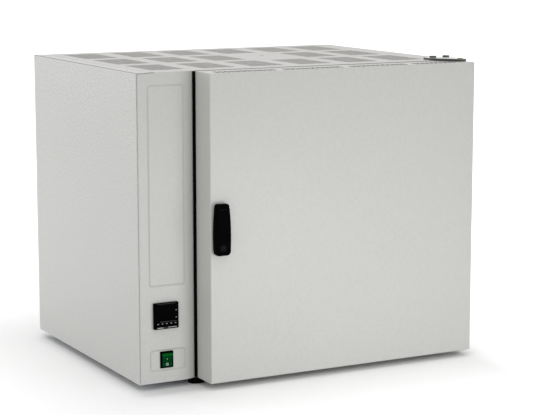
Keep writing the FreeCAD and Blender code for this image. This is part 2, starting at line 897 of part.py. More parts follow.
def fan_holes(name, y, shaft, stud):
    """Holes on the fan's axis and at its four studs, between two planes across Y."""
    depth = f"({y[1]}) - ({y[0]}) + 2 * overrun"
    start = f"{y[0]} - overrun"
    holes = [rod(name, "Y", ("chamber_middle", start, "middle_height"), shaft, depth)]
    if stud:
        holes += [rod(name, "Y", (x, start, z), stud, depth) for x, z in stud_places()]
    return holes


def stud_places():
    """Middles of the studs that carry the fan motor."""
    return [(f"chamber_middle {a} stud_spread", f"middle_height {b} stud_spread")
            for a in "+-" for b in "+-"]


def heater_lead_places():
    """Middles of the heater's two ends, at the foot of its ring."""
    turn = "heater_open_angle / 2"
    return [(f"chamber_middle {sign} heater_radius * sin({turn})",
             f"middle_height - heater_radius * cos({turn})") for sign in "+-"]


def heater_holes(y):
    """Clearance holes for the heater's ends between two planes across Y."""
    return [rod("HeaterHole", "Y", (x, f"{y[0]} - overrun", z), "heater_tube + loose",
                f"({y[1]}) - ({y[0]}) + 2 * overrun") for x, z in heater_lead_places()]


def make_chamber_liner():
    """The stainless chamber: five walls and a flange behind the front frame."""
    outer = block("LinerOuter", ("chamber_left - liner_sheet", "chamber_right + liner_sheet"),
                  ("frame_back", "chamber_back + liner_sheet"),
                  ("chamber_floor - liner_sheet", "chamber_roof + liner_sheet"))
    flange = block("LinerFlange", ("chamber_left - liner_flange", "chamber_right + liner_flange"),
                   ("frame_back", "frame_back + liner_sheet"),
                   ("chamber_floor - liner_flange", "chamber_roof + liner_flange"))
    hollow = block("LinerHollow", ("chamber_left", "chamber_right"),
                   ("frame_back - overrun", "chamber_back"), ("chamber_floor", "chamber_roof"))
    wall = ("chamber_back", "chamber_back + liner_sheet")
    tools = [hollow]
    tools += fan_holes("ShaftHole", wall, "shaft_way", None)
    tools += heater_holes(wall)
    tools += probe_holes("chamber_left - liner_sheet", "chamber_left")
    tools += [rod("VentHole", "Z", ("vent_x", "vent_y", "chamber_roof - overrun"),
                  "vent_radius + loose", "liner_sheet + 2 * overrun")]
    return keep("chamber_liner", without("ChamberLiner", joined("LinerFolds", outer, flange), *tools))


def make_insulation():
    """Mineral wool slabs around the chamber, one on each closed side."""
    along = ("wool_front", "wool_rear")
    within = ("chamber_left - liner_sheet", "chamber_right + liner_sheet")
    tall = ("wool_low", "wool_high")
    left_slab = block("LeftSlab", ("wool_left", within[0]), along, tall)
    keep("side_insulation", group(
        "SideInsulation",
        without("LeftWool", left_slab, *probe_holes("wool_left", within[0])),
        block("RightWool", (within[1], "wool_right"), along, tall)))
    keep("bottom_insulation", block("BottomWool", within, along,
                                    ("wool_low", "chamber_floor - liner_sheet")))
    top_slab = block("TopSlab", within, along, ("chamber_roof + liner_sheet", "wool_high"))
    vent = rod("VentHole", "Z", ("vent_x", "vent_y", "chamber_roof"), "vent_radius + loose",
               "wool_high - chamber_roof + overrun")
    keep("top_insulation", without("TopWool", top_slab, vent))
    depth = ("chamber_back + liner_sheet", "wool_rear")
    back_slab = block("BackSlab", within, depth,
                      ("chamber_floor - liner_sheet", "chamber_roof + liner_sheet"))
    holes = fan_holes("StudHole", depth, "shaft_way", "stud_radius + loose") + heater_holes(depth)
    keep("back_insulation", without("BackWool", back_slab, *holes))


def make_shelf_runners():
    """Four angle rails on the chamber's side walls; each shelf rests on a pair."""
    along = ("frame_back + runner_front_gap", "baffle_front - loose")
    rails = []
    for up in ("upper_shelf_up", "lower_shelf_up"):
        ledge = f"chamber_floor + {up} - rim_radius - loose"
        tall = (f"{ledge} - runner_sheet", f"{ledge} - runner_sheet + runner_tall")
        for wall, sign in (("chamber_left", "+"), ("chamber_right", "-")):
            leg = sorted_pair(wall, f"{wall} {sign} runner_sheet", sign)
            shelf = sorted_pair(wall, f"{wall} {sign} runner_depth", sign)
            rails.append(joined("Runner", block("RunnerLeg", leg, along, tall),
                                block("RunnerLedge", shelf, along, (tall[0], ledge))))
    return keep("shelf_runners", group("ShelfRunners", *rails))


def sorted_pair(first, second, sign):
    """Two planes in rising order, the second on the given side of the first."""
    return (first, second) if sign == "+" else (second, first)


def make_shelf(name, up):
    """A wire shelf: a round rim with cross wires welded into it."""
    level = f"chamber_floor + {up}"
    side = "(runner_sheet + shelf_side_gap + rim_radius)"
    x_low, x_high = f"chamber_left + {side}", f"chamber_right - {side}"
    y_low = "frame_back + shelf_front_gap + rim_radius"
    y_high = "frame_back + shelf_front_gap + shelf_depth - rim_radius"
    width = f"({x_high}) - ({x_low})"
    depth = f"({y_high}) - ({y_low})"
    pieces = []
    for y in (y_low, y_high):
        pieces.append(rod("Rim", "X", (x_low, y, level), "rim_radius", width))
    for x in (x_low, x_high):
        pieces.append(rod("Rim", "Y", (x, y_low, level), "rim_radius", depth))
    for x in (x_low, x_high):
        for y in (y_low, y_high):
            corner = document.addObject("Part::Sphere", "RimCorner")
            bind(corner, Radius="rim_radius")
            pieces.append(put(corner, (x, y, level)))
    for index in range(1, SHELF_WIRES + 1):
        x = f"{x_low} + ({width}) * {index} / {SHELF_WIRES + 1}"
        pieces.append(rod("Wire", "Y", (x, y_low, level), "wire_radius", depth))
    shelf = joined(name.title().replace("_", ""), *pieces)
    shelf.Refine = False
    return keep(name, shelf)


def make_fan_baffle():
    """The sheet in front of the fan, folded back to the rear wall, with slots and threaded spacers."""
    x = ("chamber_left + baffle_margin", "chamber_right - baffle_margin")
    z = ("chamber_floor + baffle_margin", "chamber_roof - baffle_margin")
    y = ("baffle_front", "chamber_back")
    box = block("BaffleOuter", x, y, z)
    hollow = block("BaffleHollow", (f"{x[0]} + baffle_sheet", f"{x[1]} - baffle_sheet"),
                   ("baffle_front + baffle_sheet", "chamber_back + overrun"),
                   (f"{z[0]} + baffle_sheet", f"{z[1]} - baffle_sheet"))
    tools = [hollow]
    for index in range(INTAKE_SLOTS):
        up = f"(intake_radius * 2 * ({index} - {(INTAKE_SLOTS - 1) / 2}) / {INTAKE_SLOTS})"
        half = f"sqrt(intake_radius * intake_radius - {up} * {up})"
        tools.append(block("Intake", about("chamber_middle", half),
                           ("baffle_front - overrun", "baffle_front + baffle_sheet + overrun"),
                           about(f"middle_height + {up}", "intake_slot / 2")))
    for index in range(LOUVRES):
        low = f"{z[0]} + chamber_height * {index + 1} / {LOUVRES + 3}"
        tools.append(block("Outlet", (f"{x[0]} - overrun", f"{x[1]} + overrun"),
                           ("baffle_front + baffle_stand / 3", "chamber_back - baffle_stand / 4"),
                           (low, f"{low} + intake_slot * 2")))
    sheet = without("BaffleSheet", box, *tools)
    spacers = [rod("Spacer", "Y", (a, "baffle_front + baffle_sheet / 2", b), "stud_radius",
                   "baffle_stand - baffle_sheet / 2") for a, b in baffle_screw_places()]
    threads = [rod("SpacerThread", "Y", (a, "baffle_front - overrun", b), "screw_radius + fit",
                   "screw_length + 2 * overrun") for a, b in baffle_screw_places()]
    return keep("fan_baffle", without("FanBaffle", joined("BaffleParts", sheet, *spacers), *threads))


def baffle_screw_places():
    """Middles of the four spacers and screws that hold the baffle."""
    inset = "baffle_margin * 2"
    return [(a, b) for a in (f"chamber_left + {inset}", f"chamber_right - {inset}")
            for b in (f"chamber_floor + {inset}", f"chamber_roof - {inset}")]


def screw(name, at, toward):
    """A round-headed screw along Y whose head bears on a face; toward is the way its point goes."""
    x, y, z = at
    if toward == "+":
        head_start, shank_start = f"{y} - screw_head", y
    else:
        head_start, shank_start = y, f"{y} - screw_length"
    return joined(name,
                  rod("Shank", "Y", (x, shank_start, z), "screw_radius", "screw_length"),
                  rod("Head", "Y", (x, head_start, z), "screw_head_radius", "screw_head"))


def make_screws():
    """The screws of the back panel and of the fan baffle."""
    back = [screw("BackScrew", (x, "rear", z), "-") for x, z in back_screw_places()]
    baffle = [screw("BaffleScrew", (a, "baffle_front", b), "+") for a, b in baffle_screw_places()]
    return keep("panel_screws", group("PanelScrews", *back, *baffle))


def make_fan():
    """The circulation fan: a wheel with blades, its shaft, and the motor behind the insulation."""
    middle = ("chamber_middle", "middle_height")
    wheel_front = "wheel_back - wheel_width"
    disc = rod("WheelDisc", "Y", (middle[0], "wheel_back - wheel_sheet", middle[1]), "wheel_radius",
               "wheel_sheet")
    hub = rod("WheelHub", "Y", (middle[0], wheel_front, middle[1]), "hub_radius", "wheel_width")
    rim = without("WheelRing",
                  rod("WheelRim", "Y", (middle[0], wheel_front, middle[1]), "wheel_radius",
                      "wheel_sheet"),
                  rod("WheelEye", "Y", (middle[0], f"{wheel_front} - overrun", middle[1]),
                      "blade_root + wheel_sheet", "wheel_sheet + 2 * overrun"))
    blades = []
    for index in range(FAN_BLADES):
        turn = 360 * index / FAN_BLADES
        blade = document.addObject("Part::Box", "Blade")
        bind(blade, Length="wheel_radius - blade_root - wheel_sheet / 2", Width="wheel_width",
             Height="wheel_sheet")
        blade.Placement = FreeCAD.Placement(
            FreeCAD.Vector(), FreeCAD.Rotation(FreeCAD.Vector(0, 1, 0), -turn))
        put(blade, (f"chamber_middle + blade_root * cos({turn})", wheel_front,
                    f"middle_height + blade_root * sin({turn})"))
        blades.append(blade)
    bore = rod("WheelBore", "Y", (middle[0], f"{wheel_front} - overrun", middle[1]),
               "shaft_radius + fit", "wheel_width + 2 * overrun")
    keep("fan_wheel", without("FanWheel", joined("WheelParts", disc, hub, rim, *blades), bore))
    shaft_end = "motor_front + motor_grip"
    keep("fan_shaft", joined(
        "FanShaft",
        rod("Shaft", "Y", (middle[0], wheel_front, middle[1]), "shaft_radius",
            f"({shaft_end}) - ({wheel_front})"),
        hex_bar("ShaftNut", "Y", (middle[0], f"{wheel_front} - screw_head * 2", middle[1]),
                "shaft_nut_flats", "screw_head * 2")))
    can = rod("MotorCan", "Y", (middle[0], "motor_front", middle[1]), "motor_radius", "motor_length")
    shaft_bore = rod("MotorBore", "Y", (middle[0], "motor_front - overrun", middle[1]),
                     "shaft_radius + running", "motor_grip + loose + overrun")
    keep("fan_motor", without("FanMotor", can, shaft_bore))
    plate = block("BracketPlate", about(middle[0], "bracket_half"), ("bracket_front", "motor_front"),
                  about(middle[1], "bracket_half"))
    studs = [rod("Stud", "Y", (x, "chamber_back + liner_sheet", z), "stud_radius",
                 "back_wool + bracket_sheet / 2") for x, z in stud_places()]
    way = rod("BracketHole", "Y", (middle[0], "bracket_front - overrun", middle[1]), "shaft_way",
              "bracket_sheet + 2 * overrun")
    keep("motor_bracket", without("MotorBracket", joined("BracketParts", plate, *studs), way))


def make_heater():
    """The tubular heater: an open ring round the fan wheel, with both ends through the rear wall."""
    y = "chamber_back - heater_gap"
    ring = document.addObject("Part::Torus", "HeaterRing")
    bind(ring, Radius1="heater_radius", Radius2="heater_tube", Angle3="360 - heater_open_angle")
    turn = FreeCAD.Rotation(FreeCAD.Vector(1, 0, 0), 90)
    spin = FreeCAD.Rotation(FreeCAD.Vector(0, 1, 0), 90 - SIZES["heater_open_angle"] / 2)
    ring.Placement = FreeCAD.Placement(FreeCAD.Vector(), spin.multiply(turn))
    put(ring, ("chamber_middle", y, "middle_height"))
    leads = [rod("HeaterLead", "Y", (x, y, z), "heater_tube", "heater_gap + liner_sheet + back_wool"
                 " + heater_lead") for x, z in heater_lead_places()]
    bends = []
    for x, z in heater_lead_places():
        bend = document.addObject("Part::Sphere", "HeaterBend")
        bind(bend, Radius="heater_tube")
        bends.append(put(bend, (x, y, z)))
    heater = joined("Heater", ring, *leads, *bends)
    heater.Refine = False
    return keep("heater_ring", heater)


def make_probes():
    """The temperature probe and the overheat thermostat, both through the chamber's left wall."""
    probe_z, probe_radius = probe_places()[0]
    limit_z, limit_radius = probe_places()[1]
    reach = "chamber_left + probe_reach - column_right"
    keep("temperature_probe", joined(
        "TemperatureProbe",
        rod("Probe", "X", ("column_right - probe_nut_thick", "probe_y", probe_z), probe_radius,
            f"{reach} + probe_nut_thick"),
        hex_bar("ProbeNut", "X", ("column_right - probe_nut_thick", "probe_y", probe_z), "probe_nut",
                "probe_nut_thick")))
    keep("overheat_thermostat", joined(
        "OverheatThermostat",
        rod("LimitProbe", "X", ("column_right - limit_depth / 2", "probe_y", limit_z), limit_radius,
            f"{reach} + limit_depth / 2"),
        block("LimitBox", ("column_right - limit_depth", "column_right"),
              about("probe_y", "limit_width / 2"), about(limit_z, "limit_tall / 2"))))


def make_vent_tube():
    """The vent from the chamber's roof to the top cover, with a rim inside the chamber."""
    return keep("vent_tube", turned("VentTube", ("vent_x", "vent_y", "0"), [
        ("vent_bore", "chamber_roof - liner_sheet"), ("vent_rim", "chamber_roof - liner_sheet"),
        ("vent_rim", "chamber_roof"), ("vent_radius", "chamber_roof"),
        ("vent_radius", "roof"), ("vent_bore", "roof"),
    ]))


def make_seals():
    """The silicone seal round the chamber's mouth and the strip that closes the gap by the column."""
    body = new_body("MouthSeal")
    ring = new_sketch(body, "XZ", "frame_front", "MouthSealOutline")
    inner = "seal_gap"
    outer = "seal_gap + seal_width"
    draw_round_rectangle(ring, (f"chamber_left - ({outer})", f"chamber_right + {outer}"),
                         (f"chamber_floor - ({outer})", f"chamber_roof + {outer}"), "seal_radius")
    draw_round_rectangle(ring, (f"chamber_left - {inner}", f"chamber_right + {inner}"),
                         (f"chamber_floor - {inner}", f"chamber_roof + {inner}"), "seal_radius / 2")
    seal = pad(body, ring, "frame_setback - loose", "MouthSealPad")
    soften(body, seal, "bend", "MouthSealRound", edge_on_level("Y", "door_back + loose"))
    strip = block("EdgeStrip", ("column_right + loose", "door_left"),
                  ("door_back + loose", "frame_front"), ("floor_top", "roof_under"))
    return keep("door_seals", group("DoorSeals", body, strip))


def make_door_shell():
    """The door's outer pan, folded back on four sides, with a row of cooling slots along its top."""
    body = new_body("DoorShellBody")
    outline = new_sketch(body, "XZ", "door_back", "DoorOutline")
    draw_polygon(outline, [("door_left", "door_low"), ("right", "door_low"), ("right", "door_high"),
                           ("door_left", "door_high")])
    solid = pad(body, outline, "door_thickness", "DoorPad")
    rounded = soften(body, solid, "bend", "DoorBends", edge_on_level("Y", "door_front"))
    hollow = new_sketch(body, "XZ", "door_back", "DoorHollow")
    draw_polygon(hollow, [
        ("door_left + sheet", "door_low + sheet"), ("right - sheet", "door_low + sheet"),
        ("right - sheet", "door_high - sheet"), ("door_left + sheet", "door_high - sheet")])
    cavity = pocket(body, hollow, "door_thickness - sheet", "DoorCavity", away=True)
    document.recompute()
    if cavity.Shape.Volume > rounded.Shape.Volume / 2:
        cavity.Reversed = False
    tools = []
    y = ("door_back - vent_slot_back - vent_slot_length", "door_back - vent_slot_back")
    for number in range(VENT_GROUPS):
        start = f"door_left + vent_group_inset + {number} * vent_group_pitch"
        count = VENT_SLOTS if number < VENT_GROUPS - 1 else VENT_SLOTS_BY_HINGE
        tools += slot_row("VentSlot", count, (start, f"{start} + vent_slot_width"), y,
                          ("door_high - sheet - overrun", "door_high + overrun"),
                          step_x="vent_slot_pitch")
    tools += [rod("BushHole", "Z", ("pin_x", "pin_y", z), "bush_radius + fit", "sheet + 2 * overrun")
              for z in ("door_low - overrun", "door_high - sheet - overrun")]
    tools += [rod("SpindleHole", "Y", ("latch_x", "door_front - overrun", "latch_z"),
                  "spindle_radius + loose", "sheet + 2 * overrun")]
    return keep("door_shell", without("DoorShell", body, *tools))


def make_door_inside():
    """The door's inner panel, with a shallow pan that faces the chamber, and its insulation."""
    edge = ("door_left + sheet", "right - sheet")
    y = ("door_back - door_liner_sheet", "door_back")
    plate = block("DoorInner", edge, y, ("door_low + sheet", "door_high - sheet"))
    pan_x = ("chamber_left + door_pan_margin", "chamber_right - door_pan_margin")
    pan_z = ("chamber_floor + door_pan_margin", "chamber_roof - door_pan_margin")
    pan = block("DoorPan", pan_x, ("door_back - door_liner_sheet", "door_back + door_pan_rise"), pan_z)
    sheet = "door_liner_sheet"
    hollow = block("DoorPanHollow", (f"{pan_x[0]} + {sheet}", f"{pan_x[1]} - {sheet}"),
                   (f"door_back - {sheet} - overrun", f"door_back + door_pan_rise - {sheet}"),
                   (f"{pan_z[0]} + {sheet}", f"{pan_z[1]} - {sheet}"))
    spindle = rod("SpindleHole", "Y", ("latch_x", f"{y[0]} - overrun", "latch_z"),
                  "spindle_radius + loose", f"{sheet} + 2 * overrun")
    keep("door_inner_panel", without("DoorInnerPanel", joined("DoorInnerFolds", plate, pan),
                                     hollow, spindle))
    keep("door_insulation", block(
        "DoorWool", ("door_left + latch_side_room", "right - hinge_side_room"),
        ("door_front + sheet", y[0]), ("door_low + sheet", "door_high - sheet - door_air")))


def hinge_ends():
    """The two hinges: each plane of the cabinet that carries a plate, and the way out from it."""
    return (("roof", "+", "door_high"), ("underside", "-", "door_low"))


def stack(name, x, y, start, sign, radius, length):
    """A round bar along Z that goes up or down from a level."""
    low = start if sign == "+" else f"{start} - ({length})"
    return rod(name, "Z", (x, y, low), radius, length)


def make_hinge_plate(name, level, sign):
    """A steel plate, bolted to the cabinet, that reaches forward over the door's corner."""
    body = new_body(name.title().replace("_", ""))
    outline = new_sketch(body, "XY", level, name.title().replace("_", "") + "Outline")
    plate_left = "right - plate_reach"
    nose = "pin_x - plate_nose"
    front = "pin_y - pin_inset"
    draw_polygon(outline, [
        (plate_left, "panel_front + plate_back"), (plate_left, "panel_front + plate_shoulder"),
        (nose, front), ("right", front), ("right", "panel_front + plate_back"),
    ])
    plate = pad(body, outline, "hinge_plate", name.title().replace("_", "") + "Pad",
                away=sign == "-")
    rounded = soften(body, plate, "pin_inset - running", name.title().replace("_", "") + "Round",
                     edge_along("Z", [("right", front)]))
    soften(body, rounded, "plate_nose_radius", name.title().replace("_", "") + "Nose",
           edge_along("Z", [(nose, front)]))
    holes = [stack("PinHole", "pin_x", "pin_y", f"{level} {opposite(sign)} overrun", sign,
                   "pin_radius + fit", "hinge_plate + 2 * overrun")]
    holes += [stack("BoltHole", x, "bolt_y", f"{level} {opposite(sign)} overrun", sign,
                    "bolt_hole", "hinge_plate + 2 * overrun")
              for x in ("pin_x", "pin_x - bolt_pitch")]
    return keep(name, without(name.title().replace("_", "") + "Drilled", body, *holes))


def opposite(sign):
    """The other of the two signs."""
    return "-" if sign == "+" else "+"


def make_hinges():
    """Both hinges of the door: plates, pins, bushes, blocks, bolts and the bars they screw into."""
    for name, (level, sign, door_edge) in zip(("top_hinge_plate", "bottom_hinge_plate"), hinge_ends()):
        make_hinge_plate(name, level, sign)
    pins, bushes, blocks, bolts, doublers = [], [], [], [], []
    for level, sign, door_edge in hinge_ends():
        back = opposite(sign)
        face = f"{level} {sign} hinge_plate"
        pins.append(joined(
            "HingePin",
            stack("PinHead", "pin_x", "pin_y", face, sign, "pin_head_radius", "pin_head"),
            stack("PinShank", "pin_x", "pin_y", face, back, "pin_radius",
                  "hinge_plate + door_clearance + pin_depth")))
        flange = stack("BushFlange", "pin_x", "pin_y", door_edge, sign, "bush_radius + bush_flange",
                       "bush_flange_thick")
        sleeve = stack("BushSleeve", "pin_x", "pin_y", door_edge, back, "bush_radius",
                       "sheet + block_tall")
        bore = rod("BushBore", "Z", ("pin_x", "pin_y", f"{door_edge} - sheet - block_tall - overrun"),
                   "pin_radius + fit", "2 * (sheet + block_tall + overrun)")
        bushes.append(without("HingeBush", joined("BushParts", flange, sleeve), bore))
        inner = f"{door_edge} {back} sheet"
        far = f"{door_edge} {back} (sheet + block_tall)"
        solid = block("HingeBlockSolid", ("pin_x - block_half", "right - sheet"),
                      about("pin_y", "block_half"), sorted_pair(far, inner, sign))
        seat = rod("BlockBore", "Z", ("pin_x", "pin_y", f"{door_edge} - sheet - block_tall - overrun"),
                   "bush_radius + fit", "2 * (sheet + block_tall + overrun)")
        blocks.append(without("HingeBlock", solid, seat))
        inside = f"{level} {back} sheet"
        bar = block("DoublerBar", ("pin_x - bolt_pitch - doubler_edge", "pin_x + doubler_edge"),
                    about("bolt_y", "doubler_edge"),
                    sorted_pair(f"{level} {back} (sheet + doubler)", inside, sign))
        threads = []
        for x in ("pin_x", "pin_x - bolt_pitch"):
            head = hex_bar("BoltHead", "Z", (x, "bolt_y", sorted_pair(face, f"{face} {sign} bolt_head",
                                                                        sign)[0]),
                           "bolt_flats", "bolt_head")
            shank = stack("BoltShank", x, "bolt_y", face, back, "bolt_radius",
                          "hinge_plate + sheet + doubler")
            bolts.append(joined("HingeBolt", head, shank))
            threads.append(stack("Thread", x, "bolt_y", f"{level} {sign} overrun", back,
                                 "bolt_radius + fit", "sheet + doubler + 2 * overrun"))
        doublers.append(without("HingeDoubler", bar, *threads))
    keep("hinge_pins", group("HingePins", *pins))
    keep("hinge_bushes", group("HingeBushes", *bushes))
    keep("hinge_blocks", group("HingeBlocks", *blocks))
    keep("hinge_bolts", group("HingeBolts", *bolts))
    keep("hinge_doublers", group("HingeDoublers", *doublers))


def draw_bowed_outline(sketch, corners, radius):
    """Two straight ends joined by two bowed sides; corners go round from the lower right."""
    spots = [FreeCAD.Vector(measure(u), measure(v), 0) for u, v in corners]
    size = measure(radius)
    for index, (start, end) in enumerate(zip(spots, spots[1:] + spots[:1])):
        if index % 2:
            sketch.addGeometry(Part.LineSegment(start, end))
            continue
        chord = end - start
        inward = FreeCAD.Vector(-chord.y, chord.x, 0).normalize()
        centre = (start + end) * 0.5 + inward * math.sqrt(size ** 2 - (chord.Length / 2) ** 2)
        first, last = (math.atan2(spot.y - centre.y, spot.x - centre.x) for spot in (start, end))
        circle = Part.Circle(centre, FreeCAD.Vector(0, 0, 1), size)
        sketch.addGeometry(Part.ArcOfCircle(circle, first, last))
    for index, (u, v) in enumerate(corners):
        following = (index + 1) % len(corners)
        sketch.addConstraint(Sketcher.Constraint("Coincident", index, 2, following, 1))
        fix_point(sketch, index, 1, u, v)
    for arc in (0, 2):
        tie = sketch.addConstraint(Sketcher.Constraint("Radius", arc, size))
        sketch.setExpression(f"Constraints[{tie}]", linked(radius))


def make_handle_piece(name, front, back, inset, edge):
    """One moulded layer of the handle, with bowed sides, rounded corners and a softened front edge."""
    body = new_body(name)
    low, high = f"handle_low + {inset}", f"handle_high - {inset}"
    corners = [
        (f"latch_x + handle_half_bottom - {inset}", low),
        (f"latch_x + handle_half_top - {inset}", high),
        (f"latch_x - handle_half_top + {inset}", high),
        (f"latch_x - handle_half_bottom + {inset}", low),
    ]
    sketch = new_sketch(body, "XZ", back, name + "Outline")
    draw_bowed_outline(sketch, corners, "handle_bow_radius")
    solid = pad(body, sketch, f"({back}) - ({front})", name + "Pad")
    bottom = soften(body, solid, "handle_bottom_radius", name + "Bottom",
                    edge_along("Y", [corners[0], corners[3]]))
    top = soften(body, bottom, "handle_top_radius", name + "Top",
                 edge_along("Y", [corners[1], corners[2]]))
    soften(body, top, edge, name + "Edge", edge_on_level("Y", front))
    return body


def make_latch():
    """The handle on its rose, the spindle through the door, the cam behind it and its keeper."""
    rose = make_handle_piece("LatchRose", "rose_front + running", "door_front", "rose_inset", "bend / 2")
    hole = rod("RoseHole", "Y", ("latch_x", "rose_front - overrun", "latch_z"),
               "spindle_radius + running", "rose_thick + 2 * overrun")
    keep("latch_rose", without("LatchRoseDrilled", rose, hole))
    lever = make_handle_piece("LatchLever", "handle_front + hub_face_rise", "rose_front", "0",
                              "handle_edge")
    grip = block("GripStep", about("latch_x", "handle_half_bottom + 2 * overrun"),
                 ("handle_front - overrun", "handle_front + hub_face_rise + grip_sink"),
                 ("handle_high - grip_ledge", "handle_high + overrun"))
    bore = rod("LeverBore", "Y", ("latch_x", "rose_front - handle_edge * 3", "latch_z"),
               "spindle_radius + fit", "handle_edge * 3 + overrun")
    face = rod("HubFace", "Y", ("latch_x", "handle_front", "latch_z"), "hub_face_radius",
               "hub_face_rise + overrun")
    keep("latch_lever", without("LatchLeverBored", joined("LatchLeverHub", without(
        "LatchLeverStep", lever, grip), face), bore))
    start = "rose_front - handle_edge * 3"
    keep("latch_spindle", rod("Spindle", "Y", ("latch_x", start, "latch_z"), "spindle_radius",
                              f"cam_front + cam_thick - ({start})"))
    cam = new_body("LatchCam")
    outline = new_sketch(cam, "XZ", "cam_front", "LatchCamOutline")
    half = "cam_width / 2"
    points = [(f"latch_x - {half}", f"latch_z + {half}"), (f"latch_x - {half}", "latch_z - cam_length"),
              (f"latch_x + {half}", "latch_z - cam_length"), (f"latch_x + {half}", f"latch_z + {half}")]
    draw_polygon(outline, points)
    plate = pad(cam, outline, "cam_thick", "LatchCamPad", away=True)
    rounded = soften(cam, plate, f"{half} - running", "LatchCamTop",
                     edge_along("Y", [points[0], points[3]]))
    soften(cam, rounded, f"{half} / 2", "LatchCamTip", edge_along("Y", [points[1], points[2]]))
    eye = rod("CamEye", "Y", ("latch_x", "cam_front - overrun", "latch_z"), "spindle_radius + fit",
              "cam_thick + 2 * overrun")
    keep("latch_cam", without("LatchCamDrilled", cam, eye))
    x = ("door_left + loose", "door_left + loose + keeper_depth")
    z = about("latch_z", "keeper_tall / 2")
    tab_front = "cam_front - loose - keeper_thick"
    tab = block("KeeperTab", (f"{x[0]} + keeper_thick", f"{x[1]} - keeper_thick"),
                (tab_front, f"{tab_front} + keeper_thick"), z)
    web = block("KeeperWeb", (x[0], f"{x[0]} + keeper_thick"), (tab_front, "frame_front"), z)
    return keep("latch_keeper", joined("LatchKeeper", tab, web))


def make_controller():
    """The temperature controller: case, front frame, window and five keys."""
    x, z = "controller_x", "controller_z"
    front = "panel_front - controller_stand"
    keep("controller_case", block(
        "ControllerCase", about(x, "controller_cutout / 2"),
        ("panel_front", "panel_front + controller_depth"), about(z, "controller_cutout / 2")))
    body = new_body("ControllerBezel")
    outline = new_sketch(body, "XZ", "panel_front", "BezelOutline")
    half = "controller_front / 2"
    draw_round_rectangle(outline, about(x, half), about(z, half), "controller_corner")
    solid = pad(body, outline, "controller_stand", "BezelPad")
    soften(body, solid, "controller_corner / 2", "BezelEdge", edge_on_level("Y", front))
    window_x = about(x, "window_width / 2")
    window_high = f"{z} + {half} - window_margin"
    window_z = (f"{window_high} - window_tall", window_high)
    seat = f"{front} + window_sink + window_thick"
    tools = [block("WindowSeat", window_x, (f"{front} - overrun", seat), window_z)]
    key_z = f"{z} - {half} + key_up"
    for index in range(KEYS):
        key_x = f"{x} + ({index - (KEYS - 1) / 2}) * key_pitch"
        tools.append(block("KeyHole", about(key_x, "key_width / 2 + running"),
                           (f"{front} - overrun", f"{front} + key_depth + key_travel"),
                           about(key_z, "key_tall / 2 + running")))
    keep("controller_bezel", without("BezelCut", body, *tools))
    keep("controller_window", block(
        "ControllerWindow", (f"{window_x[0]} + fit", f"{window_x[1]} - fit"),
        (f"{front} + window_sink", seat), (f"{window_z[0]} + fit", f"{window_z[1]} - fit")))
    for index in range(KEYS):
        key_x = f"{x} + ({index - (KEYS - 1) / 2}) * key_pitch"
        keep(f"controller_key_{index + 1}", block(
            "Key", about(key_x, "key_width / 2"),
            (f"{front} - key_stand", f"{front} + key_depth - key_stand"), about(key_z, "key_tall / 2")))


def make_switch():
    """The mains switch: a housing clipped into the panel and a rocker on a pin."""
    x, z = "switch_x", "switch_z"
    front = "switch_seat - switch_stand"
    body = new_body("SwitchBezel")
    outline = new_sketch(body, "XZ", "switch_seat", "SwitchBezelOutline")
    draw_round_rectangle(outline, about(x, "switch_front_width / 2"), about(z, "switch_front_tall / 2"),
                         "switch_wall")
    frame = pad(body, outline, "switch_stand", "SwitchBezelPad")
    soften(body, frame, "switch_wall / 2", "SwitchBezelEdge", edge_on_level("Y", front))
    barrel = block("SwitchBarrel", about(x, "switch_cutout_width / 2"),
                   ("switch_seat - switch_stand / 2", "panel_front + switch_depth"),
                   about(z, "switch_cutout_tall / 2"))
    well = block("SwitchWell", about(x, "switch_cutout_width / 2 - switch_wall"),
                 (f"{front} - overrun", "panel_front + rocker_half + switch_stand"),
                 about(z, "switch_cutout_tall / 2 - switch_wall"))
    pin_way = rod("RockerPinWay", "X", (f"{x} - switch_cutout_width / 2 + switch_wall / 4", "rocker_y", z),
                  "rocker_pin_radius + running", "switch_cutout_width - switch_wall / 2")
    keep("switch_housing", without("SwitchHousing", joined("SwitchParts", body, barrel), well, pin_way))
    rocker = new_body("SwitchRocker")
    rocker.Placement = FreeCAD.Placement(
        FreeCAD.Vector(), FreeCAD.Rotation(FreeCAD.Vector(1, 0, 0), SIZES["rocker_tilt"]))
    put(rocker, ("switch_x", "rocker_y", "switch_z"))
    side = new_sketch(rocker, "YZ", "-(switch_cutout_width / 2 - switch_wall - loose)", "RockerProfile")
    dip = "rocker_half * tan(rocker_tilt)"
    draw_polygon(side, [
        (f"-rocker_rim - {dip} / 2", "-rocker_half"), (f"-rocker_rim + {dip} / 2", "0"),
        (f"-rocker_rim - {dip} / 2", "rocker_half"), ("0", "rocker_half"),
        ("rocker_pin_radius * 2", "rocker_half / 3"), ("rocker_pin_radius * 2", "-rocker_half / 3"),
        ("0", "-rocker_half"),
    ])
    pad(rocker, side, "switch_cutout_width - 2 * (switch_wall + loose)", "RockerPad")
    pins = rod("RockerPin", "X", (f"{x} - switch_cutout_width / 2 + switch_wall / 2", "rocker_y", z),
               "rocker_pin_radius", "switch_cutout_width - switch_wall")
    keep("switch_rocker", joined("SwitchRockerParts", rocker, pins))


